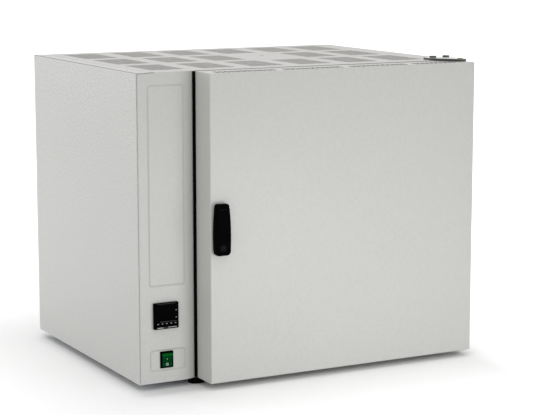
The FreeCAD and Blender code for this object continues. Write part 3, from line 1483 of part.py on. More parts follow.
def make_feet():
    """Four rubber feet, each held by a screw with a nut on the floor pan."""
    feet, screws = [], []
    for x, y in foot_places():
        feet.append(turned("Foot", (x, y, "0"), [
            ("foot_screw_radius + running", "foot_sink"), ("foot_screw_head + loose", "foot_sink"),
            ("foot_screw_head + loose", "0"), ("foot_radius - bend / 2", "0"),
            ("foot_radius", "bend / 2"), ("foot_top_radius", "foot_height"),
            ("foot_screw_radius + running", "foot_height"),
        ]))
        shank = rod("FootShank", "Z", (x, y, "foot_sink - foot_screw_head_thick"), "foot_screw_radius",
                    "foot_height - foot_sink + foot_screw_head_thick + sheet + foot_nut")
        head = rod("FootHead", "Z", (x, y, "foot_sink - foot_screw_head_thick"), "foot_screw_head",
                   "foot_screw_head_thick")
        nut = hex_bar("FootNut", "Z", (x, y, "floor_top"), "foot_nut_flats", "foot_nut")
        screws.append(joined("FootScrew", shank, head, nut))
    keep("feet", group("Feet", *feet))
    keep("foot_screws", group("FootScrews", *screws))


def make_inlet():
    """The mains inlet: a recessed housing in the back panel with three blades."""
    x, z = "inlet_x", "inlet_z"
    flange = block("InletFlange", about(x, "inlet_flange_width / 2"), ("rear", "rear + inlet_stand"),
                   about(z, "inlet_flange_tall / 2"))
    barrel = block("InletBarrel", about(x, "inlet_width / 2"),
                   ("rear - inlet_depth", "rear + inlet_stand / 2"), about(z, "inlet_tall / 2"))
    socket = block("InletSocket", about(x, "socket_width / 2"),
                   ("rear + inlet_stand - socket_depth", "rear + inlet_stand + overrun"),
                   about(z, "socket_tall / 2"))
    root = "rear + inlet_stand - socket_depth"
    places_of_blades = ((x, f"{z} + blade_offset"), (f"{x} - blade_apart", f"{z} - blade_offset"),
                        (f"{x} + blade_apart", f"{z} - blade_offset"))
    blades = [block("InletBlade", about(a, "blade_thick / 2"), (root, f"{root} + blade_length"),
                    about(b, "blade_width / 2")) for a, b in places_of_blades]
    keep("mains_inlet", without("MainsInlet", joined("InletParts", flange, barrel), socket))
    keep("inlet_blades", group("InletBlades", *blades))


def make_electrics():
    """What the column holds: the heater's relay on a heat sink plate and the terminal strip."""
    y = ("panel_front + relay_back", "panel_front + relay_back + relay_width")
    z = ("underside + relay_up", "underside + relay_up + relay_tall")
    margin = "return_flange / 2"
    plate = block("SinkPlate", ("column_right - relay_plate", "column_right"),
                  (f"{y[0]} - {margin}", f"{y[1]} + {margin}"), (f"{z[0]} - {margin}", f"{z[1]} + {margin}"))
    keep("relay_heat_sink", plate)
    relay = block("Relay", ("column_right - relay_plate - relay_depth", "column_right - relay_plate"), y, z)
    notches = [block("RelayNotch", ("column_right - relay_plate - relay_depth - overrun",
                                    "column_right - relay_plate - relay_depth / 2"),
                     (f"{y[0]} + relay_width / 4", f"{y[1]} - relay_width / 4"), span)
               for span in ((f"{z[0]} - overrun", f"{z[0]} + relay_tall / 6"),
                            (f"{z[1]} - relay_tall / 6", f"{z[1]} + overrun"))]
    keep("power_relay", without("PowerRelay", relay, *notches))
    strip_y = ("panel_front + terminal_back", "panel_front + terminal_back + terminal_length")
    strip_x = about("terminal_x", "terminal_width / 2")
    strip = block("TerminalStrip", strip_x, strip_y, ("floor_top", "floor_top + terminal_tall"))
    cells = [rod("TerminalScrew", "Z",
                 (x, f"{strip_y[0]} + terminal_length * {2 * index + 1} / {2 * TERMINALS}",
                  "floor_top + terminal_tall / 2"), "screw_radius", "terminal_tall")
             for index in range(TERMINALS)
             for x in ("terminal_x - terminal_width / 3", "terminal_x + terminal_width / 3")]
    keep("terminal_block", without("TerminalBlock", strip, *cells))


def make_cable(x, start, level, turn_y):
    """A cable that runs along Y from a face, bends down and ends on the terminal strip."""
    forward = measure(turn_y) > measure(start)
    sign = "+" if forward else "-"
    bend_y = f"({turn_y}) {opposite(sign)} cable_bend"
    run = sorted_pair(start, bend_y, sign)
    bend = document.addObject("Part::Torus", "CableBend")
    bind(bend, Radius1="cable_bend", Radius2="cable_radius", Angle3="90")
    out = FreeCAD.Vector(0, 1 if forward else -1, 0)
    up = FreeCAD.Vector(0, 0, 1)
    bend.Placement = FreeCAD.Placement(FreeCAD.Vector(), FreeCAD.Rotation(out, up, out.cross(up)))
    put(bend, (x, bend_y, f"{level} - cable_bend"))
    end = "floor_top + terminal_tall"
    cable = joined("Cable", bend,
                   rod("CableRun", "Y", (x, run[0], level), "cable_radius",
                       f"({run[1]}) - ({run[0]})"),
                   rod("CableDrop", "Z", (x, turn_y, end), "cable_radius",
                       f"{level} - cable_bend - ({end})"))
    cable.Refine = False
    return cable


def make_wiring():
    """The column's cables: from the inlet, the switch, the controller and the relay to the terminals."""
    strip_start = "panel_front + terminal_back"
    pitch = f"terminal_length / {TERMINALS}"
    keep("wiring", group(
        "Wiring",
        make_cable("inlet_x", "rear - inlet_depth", "inlet_z", f"{strip_start} + 5 * {pitch}"),
        make_cable("switch_x", "panel_front + switch_depth", "switch_z + cable_radius",
                   f"{strip_start} + {pitch} / 2"),
        make_cable("controller_x", "panel_front + controller_depth", "controller_z",
                   f"{strip_start} + 2 * {pitch}"),
        make_cable("column_right - relay_plate - relay_depth / 2 - cable_radius",
                   "panel_front + relay_back + relay_width", "underside + relay_up + relay_tall / 2",
                   f"{strip_start} + 3 * {pitch}")))


def check_everything():
    """Stops with a message if an object failed or a sub-part is not a sound solid."""
    document.recompute()
    for item in document.Objects:
        if "Invalid" in item.State or "Error" in item.State:
            raise RuntimeError(f"{item.Name} ({item.Label}) is {item.State}")
    for item in sub_parts:
        if item.Shape.isNull() or not item.Shape.isValid() or not item.Shape.Solids:
            raise RuntimeError(f"{item.Label} is not a valid solid")


def write_sub_parts():
    """Writes each sub-part to its own STEP file and prints its size."""
    os.makedirs("parts", exist_ok=True)
    for item in sub_parts:
        item.Shape.exportStep(f"parts/{item.Label}.step")
        box = item.Shape.BoundBox
        print(f"{item.Label:22s} solids {len(item.Shape.Solids):3d}  "
              f"x {box.XMin:8.2f} {box.XMax:8.2f}  y {box.YMin:8.2f} {box.YMax:8.2f}  "
              f"z {box.ZMin:8.2f} {box.ZMax:8.2f}  volume {item.Shape.Volume:12.1f}")


fill_sheets()
make_base_tray()
make_left_side_panel()
make_right_side_panel()
make_back_panel()
make_top_cover()
make_front_frame()
make_control_panel()
make_compartment_wall()
make_chamber_liner()
make_insulation()
make_shelf_runners()
make_shelf("upper_shelf", "upper_shelf_up")
make_shelf("lower_shelf", "lower_shelf_up")
make_fan_baffle()
make_screws()
make_fan()
make_heater()
make_probes()
make_vent_tube()
make_seals()
make_door_shell()
make_door_inside()
make_hinges()
make_latch()
make_controller()
make_switch()
make_feet()
make_inlet()
make_electrics()
make_wiring()
check_everything()
write_sub_parts()
print("sub-parts", len(sub_parts))
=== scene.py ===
"""Looks of a bench-top dry heat sterilizer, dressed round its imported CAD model."""

import json
import logging
import math
from dataclasses import dataclass, replace
from enum import Enum
from typing import Any, Iterable, Protocol

import bmesh
import bpy
from mathutils import Matrix, Vector

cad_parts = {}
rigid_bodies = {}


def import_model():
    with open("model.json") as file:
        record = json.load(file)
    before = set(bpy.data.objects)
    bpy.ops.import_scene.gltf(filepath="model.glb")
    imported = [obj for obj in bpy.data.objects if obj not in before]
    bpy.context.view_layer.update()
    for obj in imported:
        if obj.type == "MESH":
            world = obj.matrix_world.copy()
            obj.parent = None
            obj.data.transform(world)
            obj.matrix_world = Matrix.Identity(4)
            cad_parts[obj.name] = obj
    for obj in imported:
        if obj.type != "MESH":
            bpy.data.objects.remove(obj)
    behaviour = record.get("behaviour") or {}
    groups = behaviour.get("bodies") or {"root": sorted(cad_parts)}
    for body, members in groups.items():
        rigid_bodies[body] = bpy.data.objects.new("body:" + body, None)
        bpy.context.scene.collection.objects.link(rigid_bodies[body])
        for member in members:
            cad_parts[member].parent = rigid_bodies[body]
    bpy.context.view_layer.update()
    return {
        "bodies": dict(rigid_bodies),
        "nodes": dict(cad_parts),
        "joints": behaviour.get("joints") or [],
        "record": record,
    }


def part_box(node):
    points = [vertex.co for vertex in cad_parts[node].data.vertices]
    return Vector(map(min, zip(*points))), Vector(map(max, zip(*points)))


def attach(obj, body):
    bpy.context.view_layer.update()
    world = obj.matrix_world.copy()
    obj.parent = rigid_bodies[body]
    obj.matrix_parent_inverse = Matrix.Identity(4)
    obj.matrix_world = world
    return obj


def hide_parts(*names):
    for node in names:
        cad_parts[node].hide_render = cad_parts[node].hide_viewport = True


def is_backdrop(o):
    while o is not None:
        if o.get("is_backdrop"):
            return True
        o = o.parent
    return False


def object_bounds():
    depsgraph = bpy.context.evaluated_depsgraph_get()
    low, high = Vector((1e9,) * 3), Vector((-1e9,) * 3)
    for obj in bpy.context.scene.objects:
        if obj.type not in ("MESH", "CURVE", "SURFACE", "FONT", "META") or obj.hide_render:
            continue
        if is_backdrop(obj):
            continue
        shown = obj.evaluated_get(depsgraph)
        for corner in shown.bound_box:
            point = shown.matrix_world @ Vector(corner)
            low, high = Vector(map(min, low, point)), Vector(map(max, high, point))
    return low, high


LOG = logging.getLogger("sterilizer")
FRONT = Vector((0.0, -1.0, 0.0))
NEAR = 1e-5
FLAT_RANGE = (0.75, 0.97)
# How much stronger the painted sparkle's mottle is at the top of its heights.
SPARKLE_SHARE = 4

Colour = tuple[float, float, float]
Socket = bpy.types.NodeSocket


class Grain(Enum):
    """The way that a metal's brush marks run, as how much each axis is squeezed."""

    ALONG_X = (0.03, 1.0, 1.0)
    ALONG_Y = (1.0, 0.03, 1.0)
    ALONG_Z = (1.0, 1.0, 0.03)
    NONE = (1.0, 1.0, 1.0)


def shade(colour: Colour, share: float) -> Colour:
    """Gives a colour made lighter or darker by a share.

    Args:
        colour: The linear colour to start from.
        share: What each channel is multiplied by.

    Returns:
        The new linear colour.
    """
    return tuple(min(1.0, channel * share) for channel in colour)


class Graph:
    """The node tree of one material, with short calls for what the finishes share."""

    def __init__(self, name: str) -> None:
        """Starts a material with its Principled shader and Object coordinates.

        Args:
            name: The material's name.
        """
        self.material = bpy.data.materials.new(name)
        self.material.use_nodes = True
        self.nodes = self.material.node_tree.nodes
        self.links = self.material.node_tree.links
        self.shader = self.nodes["Principled BSDF"]
        coordinates = self.nodes.new("ShaderNodeTexCoord").outputs
        self.points = coordinates["Object"]
        self.normals = coordinates["Normal"]

    def plain(self, **values: Any) -> None:
        """Sets constant values on the shader's own sockets.

        Args:
            **values: Socket names with underscores for spaces, and their values.
        """
        for name, value in values.items():
            self.shader.inputs[name.replace("_", " ")].default_value = value

    def wire(self, source: Socket, name: str) -> None:
        """Leads a socket into one of the shader's own, by its name."""
        self.links.new(source, self.shader.inputs[name])

    def part_of(self, vector: Socket, axis: str) -> Socket:
        """Gives one part of a vector.

        Args:
            vector: The vector.
            axis: The part, X, Y or Z.

        Returns:
            The socket with the part.
        """
        node = self.nodes.new("ShaderNodeSeparateXYZ")
        self.links.new(vector, node.inputs["Vector"])
        return node.outputs[axis]

    def count(self, operation: str, first: Socket, second: Socket) -> Socket:
        """Works out one operation of the Math node.

        Args:
            operation: The node's operation.
            first: The first value.
            second: The second value.

        Returns:
            The socket with the result.
        """
        node = self.nodes.new("ShaderNodeMath")
        node.operation = operation
        self.links.new(first, node.inputs[0])
        self.links.new(second, node.inputs[1])
        return node.outputs["Value"]

    def move(self, operation: str, vector: Socket, by: Colour = (0.0, 0.0, 0.0)) -> Socket:
        """Works out one operation of the Vector Math node.

        Args:
            operation: The node's operation.
            vector: The vector that it starts from.
            by: The constant second vector.

        Returns:
            The socket with the new vector, or with the length.
        """
        node = self.nodes.new("ShaderNodeVectorMath")
        node.operation = operation
        node.inputs[1].default_value = by
        self.links.new(vector, node.inputs[0])
        return node.outputs["Value" if operation in ("LENGTH", "DISTANCE") else "Vector"]

    def within(self, low: Vector, high: Vector) -> Socket:
        """Finds the points inside a box.

        Args:
            low: The box's lowest corner.
            high: Its highest corner.

        Returns:
            The socket that is 1 inside the box and 0 outside.
        """
        shares = []
        for axis, least, most in zip("XYZ", low, high):
            node = self.nodes.new("ShaderNodeMath")
            node.operation = "COMPARE"
            node.inputs[1].default_value = (least + most) / 2
            node.inputs[2].default_value = (most - least) / 2
            self.links.new(self.part_of(self.points, axis), node.inputs[0])
            shares.append(node.outputs["Value"])
        return self.count("MULTIPLY", self.count("MULTIPLY", shares[0], shares[1]), shares[2])

    def off_level(self) -> Socket:
        """Finds where a surface doesn't look up or down.

        Returns:
            The socket that is 1 on bends and cut edges, and 0 on level faces.
        """
        along = self.part_of(self.normals, "Z")
        return self.remap(self.count("MULTIPLY", along, along), 1.0, 0.0, *FLAT_RANGE)

    def on_bends(self) -> Socket:
        """Finds where a surface looks along none of the three axes.

        Returns:
            The socket that is 1 on bends and 0 on flat faces.
        """
        squares = []
        for axis in "XYZ":
            along = self.part_of(self.normals, axis)
            squares.append(self.count("MULTIPLY", along, along))
        flattest = self.count("MAXIMUM", squares[0], self.count("MAXIMUM", *squares[1:]))
        return self.remap(flattest, 1.0, 0.0, *FLAT_RANGE)

    def from_outline(self, low: Vector, high: Vector, radius: float) -> Socket:
        """Measures how far a point of an upright sheet is from a rounded rectangle on it.

        Args:
            low: The rectangle's lowest corner.
            high: Its highest corner.
            radius: The radius of its corners.

        Returns:
            The socket with the distance to the outline, below zero inside it.
        """
        middle, half = (low + high) / 2, (high - low) / 2
        flat = self.move("MULTIPLY", self.move("SUBTRACT", self.points, tuple(middle)),
                         (1.0, 0.0, 1.0))
        past = self.move("SUBTRACT", self.move("ABSOLUTE", flat),
                         (half.x - radius, 0.0, half.z - radius))
        length = self.move("LENGTH", self.move("MAXIMUM", past))
        return self.remap(length, -radius, 1.0 - radius, 0.0, 1.0)

    def squeezed(self, grain: Grain) -> Socket:
        """Gives the Object coordinates squeezed along the way a grain runs.

        Args:
            grain: The way that the grain runs.

        Returns:
            The socket with the coordinates.
        """
        if grain is Grain.NONE:
            return self.points
        mapping = self.nodes.new("ShaderNodeMapping")
        mapping.inputs["Scale"].default_value = grain.value
        self.links.new(self.points, mapping.inputs["Vector"])
        return mapping.outputs["Vector"]

    def noise(self, size: float, detail: float = 2.0, grain: Grain = Grain.NONE) -> Socket:
        """Adds a noise texture.

        Args:
            size: The size of one patch of it, in metres.
            detail: How many finer layers it has.
            grain: The way that it is drawn out.

        Returns:
            The socket with its value, from 0 to 1.
        """
        node = self.nodes.new("ShaderNodeTexNoise")
        node.inputs["Scale"].default_value = 1.0 / size
        node.inputs["Detail"].default_value = detail
        self.links.new(self.squeezed(grain), node.inputs["Vector"])
        return node.outputs["Fac"]

    def cells(self, size: float) -> Socket:
        """Adds a field of cells.

        Args:
            size: The size of one cell, in metres.

        Returns:
            The socket with the distance to the nearest cell's middle.
        """
        node = self.nodes.new("ShaderNodeTexVoronoi")
        node.inputs["Scale"].default_value = 1.0 / size
        self.links.new(self.points, node.inputs["Vector"])
        return node.outputs["Distance"]

    def remap(self, value: Socket, low: float, high: float,
              start: float = 0.3, end: float = 0.7) -> Socket:
        """Maps a value onto a range.

        Args:
            value: The socket to map.
            low: What the start becomes.
            high: What the end becomes.
            start: The value that becomes low.
            end: The value that becomes high.

        Returns:
            The socket with the mapped value.
        """
        node = self.nodes.new("ShaderNodeMapRange")
        settings = {"From Min": start, "From Max": end, "To Min": low, "To Max": high}
        for name, number in settings.items():
            node.inputs[name].default_value = number
        self.links.new(value, node.inputs["Value"])
        return node.outputs["Result"]

    def blend(self, share: Socket, first: Colour | Socket, second: Colour | Socket) -> Socket:
        """Mixes two colours by a share.

        Args:
            share: The socket with the second colour's share.
            first: The colour, or its socket, at share 0.
            second: The colour, or its socket, at share 1.

        Returns:
            The socket with the mixed colour.
        """
        node = self.nodes.new("ShaderNodeMix")
        node.data_type = "RGBA"
        self.links.new(share, node.inputs["Factor"])
        for socket, colour in ((node.inputs[6], first), (node.inputs[7], second)):
            if isinstance(colour, tuple):
                socket.default_value = (*colour, 1.0)
            else:
                self.links.new(colour, socket)
        return node.outputs[2]

    def relief(self, height: Socket, depth: float, under: Socket | None = None) -> Socket:
        """Adds a bump.

        Args:
            height: The socket with its height, from 0 to 1.
            depth: The real depth of it, in metres.
            under: The normal of a coarser bump below it, if there is one.

        Returns:
            The socket with the new normal.
        """
        node = self.nodes.new("ShaderNodeBump")
        node.inputs["Distance"].default_value = depth
        self.links.new(height, node.inputs["Height"])
        if under is not None:
            self.links.new(under, node.inputs["Normal"])
        return node.outputs["Normal"]


class Finish(Protocol):
    """Anything that can make one material and has its name."""

    name: str

    def make(self) -> bpy.types.Material:
        """Makes the material."""


@dataclass(frozen=True)
class PowderCoat:
    """A baked powder coat with a fine orange peel; where set, painted shade darkens its bends and
    its upright faces.

    Attributes:
        name: The material's name.
        colour: The coat's linear colour.
        roughness: How dull it is in the middle of its range.
        grain: The size of one grain of the peel, in metres.
        depth: How deep the peel is, in metres.
        mottle: How far the coat's tone varies from patch to patch of a few millimetres.
        coarse: The heights where the mottle starts to grow and where it is SPARKLE_SHARE times as
            strong: painted sparkle that stands in for the lamp's glitter on the upper part of the
            sides.
        cut: What the tone is multiplied by on faces that don't look up or down: painted shade that
            stands in for the shadow inside the slots.
        cut_in: The lowest and highest corner of the space where that painted shade holds.
        bend_shade: What the tone is multiplied by on bends: painted shade that draws the dark line
            along the sides' folded top edge.
        painted_shade_boxes: The lowest and highest corner of each space where the sheet is painted
            near black, as painted shade for the closed inside and the slot edges.
        pressed: The lowest and highest corner of each shallow field pressed into the sheet; its
            outline gets a bump and painted shade in the crease.
    """

    name: str
    colour: Colour
    roughness: float = 0.4
    grain: float = 0.0021
    depth: float = 0.00009
    mottle: float = 0.03
    coarse: tuple[float, ...] = ()
    cut: float = 1.0
    cut_in: tuple[Vector, ...] = ()
    bend_shade: float = 1.0
    painted_shade_boxes: tuple[tuple[Vector, Vector], ...] = ()
    pressed: tuple[tuple[Vector, Vector], ...] = ()

    def make(self) -> bpy.types.Material:
        """Makes the material."""
        graph = Graph(self.name)
        cloud = graph.noise(0.16, 3.0)
        speck = graph.noise(self.grain, 1.5)
        fine = graph.noise(self.grain / 3, 1.0)
        patch = graph.remap(graph.noise(self.grain * 2, 2.5), 0.0, 1.0)
        patchy = self.mottled(graph, patch, self.mottle)
        # Painted sparkle: the mottle grows stronger with height to stand in for the lamp's glitter
        # on the upper sides.
        if self.coarse:
            share = graph.remap(graph.part_of(graph.points, "Z"), 0.0, 1.0, *self.coarse)
            strong = self.mottled(graph, patch, self.mottle * SPARKLE_SHARE)
            patchy = graph.blend(share, patchy, strong)
        tone = graph.blend(graph.remap(cloud, 0.0, 0.3), patchy, shade(self.colour, 1.02))
        # Painted shade: upright faces inside cut_in, such as the vent slots' walls, are darkened to
        # stand in for the shadow in the slots.
        if self.cut_in:
            cut = graph.count("MULTIPLY", graph.off_level(), graph.within(*self.cut_in))
            tone = graph.blend(cut, tone, shade(self.colour, self.cut))
        # Painted shade: bends are darkened to draw the dark line along the sides' folded top edge.
        if self.bend_shade < 1.0:
            tone = graph.blend(graph.on_bends(), tone, shade(self.colour, self.bend_shade))
        # Painted shade: inside these boxes the sheet is near black, standing in for the shade
        # inside the door and its slots.
        for low, high in self.painted_shade_boxes:
            tone = graph.blend(graph.within(low, high), tone, SHADE_BLACK)
        slope = None
        for low, high in self.pressed:
            away = graph.from_outline(low, high, FIELD_RADIUS)
            rise = graph.remap(away, 0.0, 1.0, -FIELD_SLOPE / 2, FIELD_SLOPE / 2)
            slope = graph.relief(rise, FIELD_DEPTH, slope)
            # Painted shade: the tone darkens along each field's crease.
            crease = graph.remap(away, 0.0, 1.0, -FIELD_SLOPE, -FIELD_SLOPE / 4)
            past = graph.remap(away, 1.0, 0.0, -FIELD_SLOPE / 4, FIELD_SLOPE / 2)
            tone = graph.blend(graph.count("MULTIPLY", crease, past), tone,
                               shade(self.colour, FIELD_SHADE))
        graph.wire(tone, "Base Color")
        graph.wire(graph.remap(fine, self.roughness - 0.12, self.roughness + 0.1), "Roughness")
        coarse = graph.relief(speck, self.depth, slope)
        graph.wire(graph.relief(fine, self.depth / 4, coarse), "Normal")
        graph.plain(IOR=1.5)
        return graph.material

    def mottled(self, graph: Graph, patch: Socket, depth: float) -> Socket:
        """Gives the coat's colour, made darker and lighter from patch to patch.

        Args:
            graph: The material's node tree.
            patch: The socket with the patches, from 0 to 1.
            depth: How far the tone varies.

        Returns:
            The socket with the colour.
        """
        return graph.blend(patch, shade(self.colour, 1.0 - depth), shade(self.colour, 1.0 + depth))


@dataclass(frozen=True)
class BrushedMetal:
    """Rolled or brushed sheet and bar, with fine marks along one way.

    Attributes:
        name: The material's name.
        colour: The metal's linear colour.
        roughness: How dull it is.
        grain: The way the marks run.
        stain: The colour of handling marks and oxide.
    """

    name: str
    colour: Colour
    roughness: float = 0.32
    grain: Grain = Grain.ALONG_X
    stain: Colour = (0.45, 0.44, 0.42)

    def make(self) -> bpy.types.Material:
        """Makes the material."""
        graph = Graph(self.name)
        marks = graph.noise(0.0009, 3.0, self.grain)
        cloud = graph.noise(0.05, 4.0)
        tone = graph.blend(marks, shade(self.colour, 0.93), shade(self.colour, 1.05))
        stained = graph.blend(graph.remap(cloud, 0.0, 0.22, 0.5, 0.8), tone, self.stain)
        graph.wire(stained, "Base Color")
        graph.wire(graph.remap(marks, self.roughness - 0.06, self.roughness + 0.1), "Roughness")
        graph.wire(graph.relief(marks, 0.00002), "Normal")
        graph.plain(Metallic=1.0)
        return graph.material


@dataclass(frozen=True)
class Plating:
    """Bright or passivated plate on small steel parts.

    Attributes:
        name: The material's name.
        colour: The plate's linear colour.
        tint: The colour that the passivation shifts to.
        roughness: How dull it is.
        side: The linear colour of the faces that don't look up or down, if any: painted shade that
            darkens the upright faces of the plates, bolts and pins.
    """

    name: str
    colour: Colour
    tint: Colour
    roughness: float = 0.3
    side: Colour | None = None

    def make(self) -> bpy.types.Material:
        """Makes the material."""
        graph = Graph(self.name)
        film = graph.noise(0.006, 3.0)
        pits = graph.noise(0.0006, 2.0)
        tone = graph.blend(graph.remap(film, 0.0, 1.0), self.colour, self.tint)
        # Painted shade: upright faces take the darker side colour.
        if self.side:
            tone = graph.blend(graph.off_level(), tone, self.side)
        graph.wire(tone, "Base Color")
        graph.wire(graph.remap(pits, self.roughness - 0.08, self.roughness + 0.12), "Roughness")
        graph.wire(graph.relief(pits, 0.00002), "Normal")
        graph.plain(Metallic=1.0)
        return graph.material


@dataclass(frozen=True)
class Moulding:
    """Moulded plastic with a fine spark-eroded grain and faint scuffs.

    Attributes:
        name: The material's name.
        colour: The plastic's linear colour.
        roughness: How dull it is.
        grain: The size of the mould's grain, in metres.
        depth: The depth of that grain, in metres.
        gloss: How strongly it mirrors, where 0.5 is plain plastic.
    """

    name: str
    colour: Colour
    roughness: float = 0.45
    grain: float = 0.0005
    depth: float = 0.00002
    gloss: float = 0.5

    def make(self) -> bpy.types.Material:
        """Makes the material."""
        graph = Graph(self.name)
        texture = graph.noise(self.grain, 2.0)
        scuff = graph.noise(0.012, 4.0)
        tone = graph.blend(graph.remap(scuff, 0.0, 1.0), self.colour, shade(self.colour, 1.25))
        graph.wire(tone, "Base Color")
        graph.wire(graph.remap(scuff, self.roughness - 0.05, self.roughness + 0.09), "Roughness")
        graph.wire(graph.relief(texture, self.depth), "Normal")
        graph.plain(Specular_IOR_Level=self.gloss)
        return graph.material


@dataclass(frozen=True)
class PolishedPane:
    """A smoked display pane with faint dust and finger smears.

    Attributes:
        name: The material's name.
        colour: The pane's linear colour.
    """

    name: str
    colour: Colour

    def make(self) -> bpy.types.Material:
        """Makes the material."""
        graph = Graph(self.name)
        smear = graph.noise(0.009, 5.0)
        dust = graph.cells(0.0007)
        base = graph.blend(graph.remap(dust, 0.1, 0.0, 0.0, 0.12), self.colour, (0.02, 0.02, 0.022))
        graph.wire(base, "Base Color")
        graph.wire(graph.remap(smear, 0.05, 0.14), "Roughness")
        graph.plain(IOR=1.49, Specular_IOR_Level=0.012)
        return graph.material


@dataclass(frozen=True)
class LitRocker:
    """A clear-tinted rocker: glossy, with streaks between a deep and a pale green, a painted
    highlight along its top and painted shade below it.

    Attributes:
        name: The material's name.
        deep: The linear colour of the deeper streaks.
        pale: The linear colour of the paler streaks.
        crest: The linear colour of the painted highlight along the top.
        highlight_band: The lowest and highest corner of the painted highlight along its top.
        shade_band: The lowest and highest corner of the painted shade below that highlight.
    """

    name: str
    deep: Colour
    pale: Colour
    crest: Colour
    highlight_band: tuple[Vector, ...] = ()
    shade_band: tuple[Vector, ...] = ()

    def make(self) -> bpy.types.Material:
        """Makes the material."""
        graph = Graph(self.name)
        flow = graph.noise(0.006, 2.0, Grain.ALONG_X)
        tone = graph.blend(graph.remap(flow, 0.0, 1.0), self.deep, self.pale)
        # Painted highlight along the top, and painted shade just below it.
        if self.highlight_band:
            tone = graph.blend(graph.within(*self.highlight_band), tone, self.crest)
        if self.shade_band:
            tone = graph.blend(graph.within(*self.shade_band), tone, shade(self.deep, 0.3))
        graph.wire(tone, "Base Color")
        graph.wire(graph.remap(graph.noise(0.003, 3.0), 0.16, 0.3), "Roughness")
        graph.plain(IOR=1.55, Specular_IOR_Level=0.015)
        return graph.material


@dataclass(frozen=True)
class SoftRubber:
    """Matt rubber with bloom and a fine skin.

    Attributes:
        name: The material's name.
        colour: The rubber's linear colour.
    """

    name: str
    colour: Colour

    def make(self) -> bpy.types.Material:
        """Makes the material."""
        graph = Graph(self.name)
        bloom = graph.noise(0.02, 4.0)
        skin = graph.noise(0.0007, 2.0)
        graph.wire(graph.blend(graph.remap(bloom, 0.0, 1.0), self.colour,
                               shade(self.colour, 1.5)), "Base Color")
        graph.wire(graph.remap(skin, 0.62, 0.82), "Roughness")
        graph.wire(graph.relief(skin, 0.00003), "Normal")
        graph.plain(Specular_IOR_Level=0.02)
        return graph.material


@dataclass(frozen=True)
class MineralWool:
    """Pressed wool slab: matted fibres lying along the board.

    Attributes:
        name: The material's name.
        colour: The wool's linear colour.
    """

    name: str
    colour: Colour

    def make(self) -> bpy.types.Material:
        """Makes the material."""
        graph = Graph(self.name)
        fibre = graph.noise(0.0016, 6.0, Grain.ALONG_X)
        clump = graph.noise(0.014, 4.0)
        tone = graph.blend(fibre, shade(self.colour, 0.75), shade(self.colour, 1.12))
        patched = graph.blend(graph.remap(clump, 0.0, 0.5), tone, shade(self.colour, 0.82))
        graph.wire(patched, "Base Color")
        coarse = graph.relief(clump, 0.0012)
        graph.wire(graph.relief(fibre, 0.0005, coarse), "Normal")
        graph.plain(Roughness=0.95, Sheen_Weight=0.2)
        return graph.material


FIELD_RADIUS = 0.005
FIELD_DEPTH = 0.0009
FIELD_SLOPE = 0.0032
# What the tone is multiplied by in a field's crease: painted shade.
FIELD_SHADE = 0.84
# Near black: painted shade for the inside of the door and its slot edges.
SHADE_BLACK: Colour = (0.02, 0.02, 0.02)
LIGHT_GREY: Colour = (0.63, 0.63, 0.61)
PAINT = PowderCoat("light grey powder coat", LIGHT_GREY)
# coarse=(0.2, 0.5) makes painted sparkle on the upper part of the sides.
SIDE_PAINT = PowderCoat("light grey powder coat of the sides", LIGHT_GREY, roughness=0.36,
                        # bend=0.4 is painted shade along the sides' folded top edge.
                        grain=0.0018, depth=0.00016, mottle=0.05, coarse=(0.2, 0.5), bend_shade=0.4)
TOP_PAINT = PowderCoat("light grey powder coat of the top", (0.64, 0.625, 0.605), roughness=0.45,
                       # cut=0.55 is painted shade on the walls of the vent slots.
                       grain=0.0018, mottle=0.04, cut=0.55)
GALVANISED = Plating("galvanised sheet", (0.60, 0.62, 0.64), (0.50, 0.52, 0.55), 0.42)
STAINLESS = BrushedMetal("satin stainless sheet", (0.62, 0.61, 0.59))
STAINLESS_UPRIGHT = BrushedMetal("satin stainless, brushed upright", (0.62, 0.61, 0.59),
                                 0.34, Grain.ALONG_Z)
STAINLESS_WIRE = BrushedMetal("drawn stainless wire", (0.66, 0.65, 0.63), 0.22, Grain.ALONG_Y)
ZINC = Plating("bright zinc plate", (0.66, 0.68, 0.70), (0.50, 0.56, 0.60))
# The side colours below are painted shade on the upright faces.
PLATE_ZINC = Plating("zinc plated hinge plate", (0.78, 0.78, 0.76), (0.62, 0.62, 0.60), 0.35,
                     side=(0.09, 0.09, 0.085))
BOLT_ZINC = Plating("blue passivated zinc", (0.50, 0.55, 0.55), (0.30, 0.36, 0.37), 0.28,
                    side=(0.10, 0.125, 0.125))
YELLOW_ZINC = Plating("yellow passivated zinc", (0.42, 0.38, 0.27), (0.30, 0.27, 0.18), 0.4,
                      side=(0.12, 0.11, 0.07))
BRONZE = Plating("sintered bronze", (0.55, 0.36, 0.16), (0.42, 0.27, 0.12), 0.45)
NICKEL = Plating("nickel plated contact", (0.66, 0.63, 0.57), (0.58, 0.55, 0.50), 0.22)
SHEATH = BrushedMetal("heat tinted heater sheath", (0.20, 0.17, 0.15), 0.42, Grain.NONE,
                      (0.12, 0.10, 0.16))
MOTOR_ENAMEL = PowderCoat("dark motor enamel", (0.06, 0.065, 0.075), 0.4)
RUBBER = SoftRubber("black rubber", (0.002, 0.002, 0.002))
CABLE = SoftRubber("black cable sheath", (0.018, 0.018, 0.02))
HANDLE_BLACK = Moulding("black handle moulding", (0.0003, 0.0003, 0.0004), 0.3, grain=0.0006,
                        depth=0.00001, gloss=0.008)
WORN_BLACK = Moulding("polished black moulding", (0.0025, 0.0025, 0.0032), 0.3, gloss=0.03)
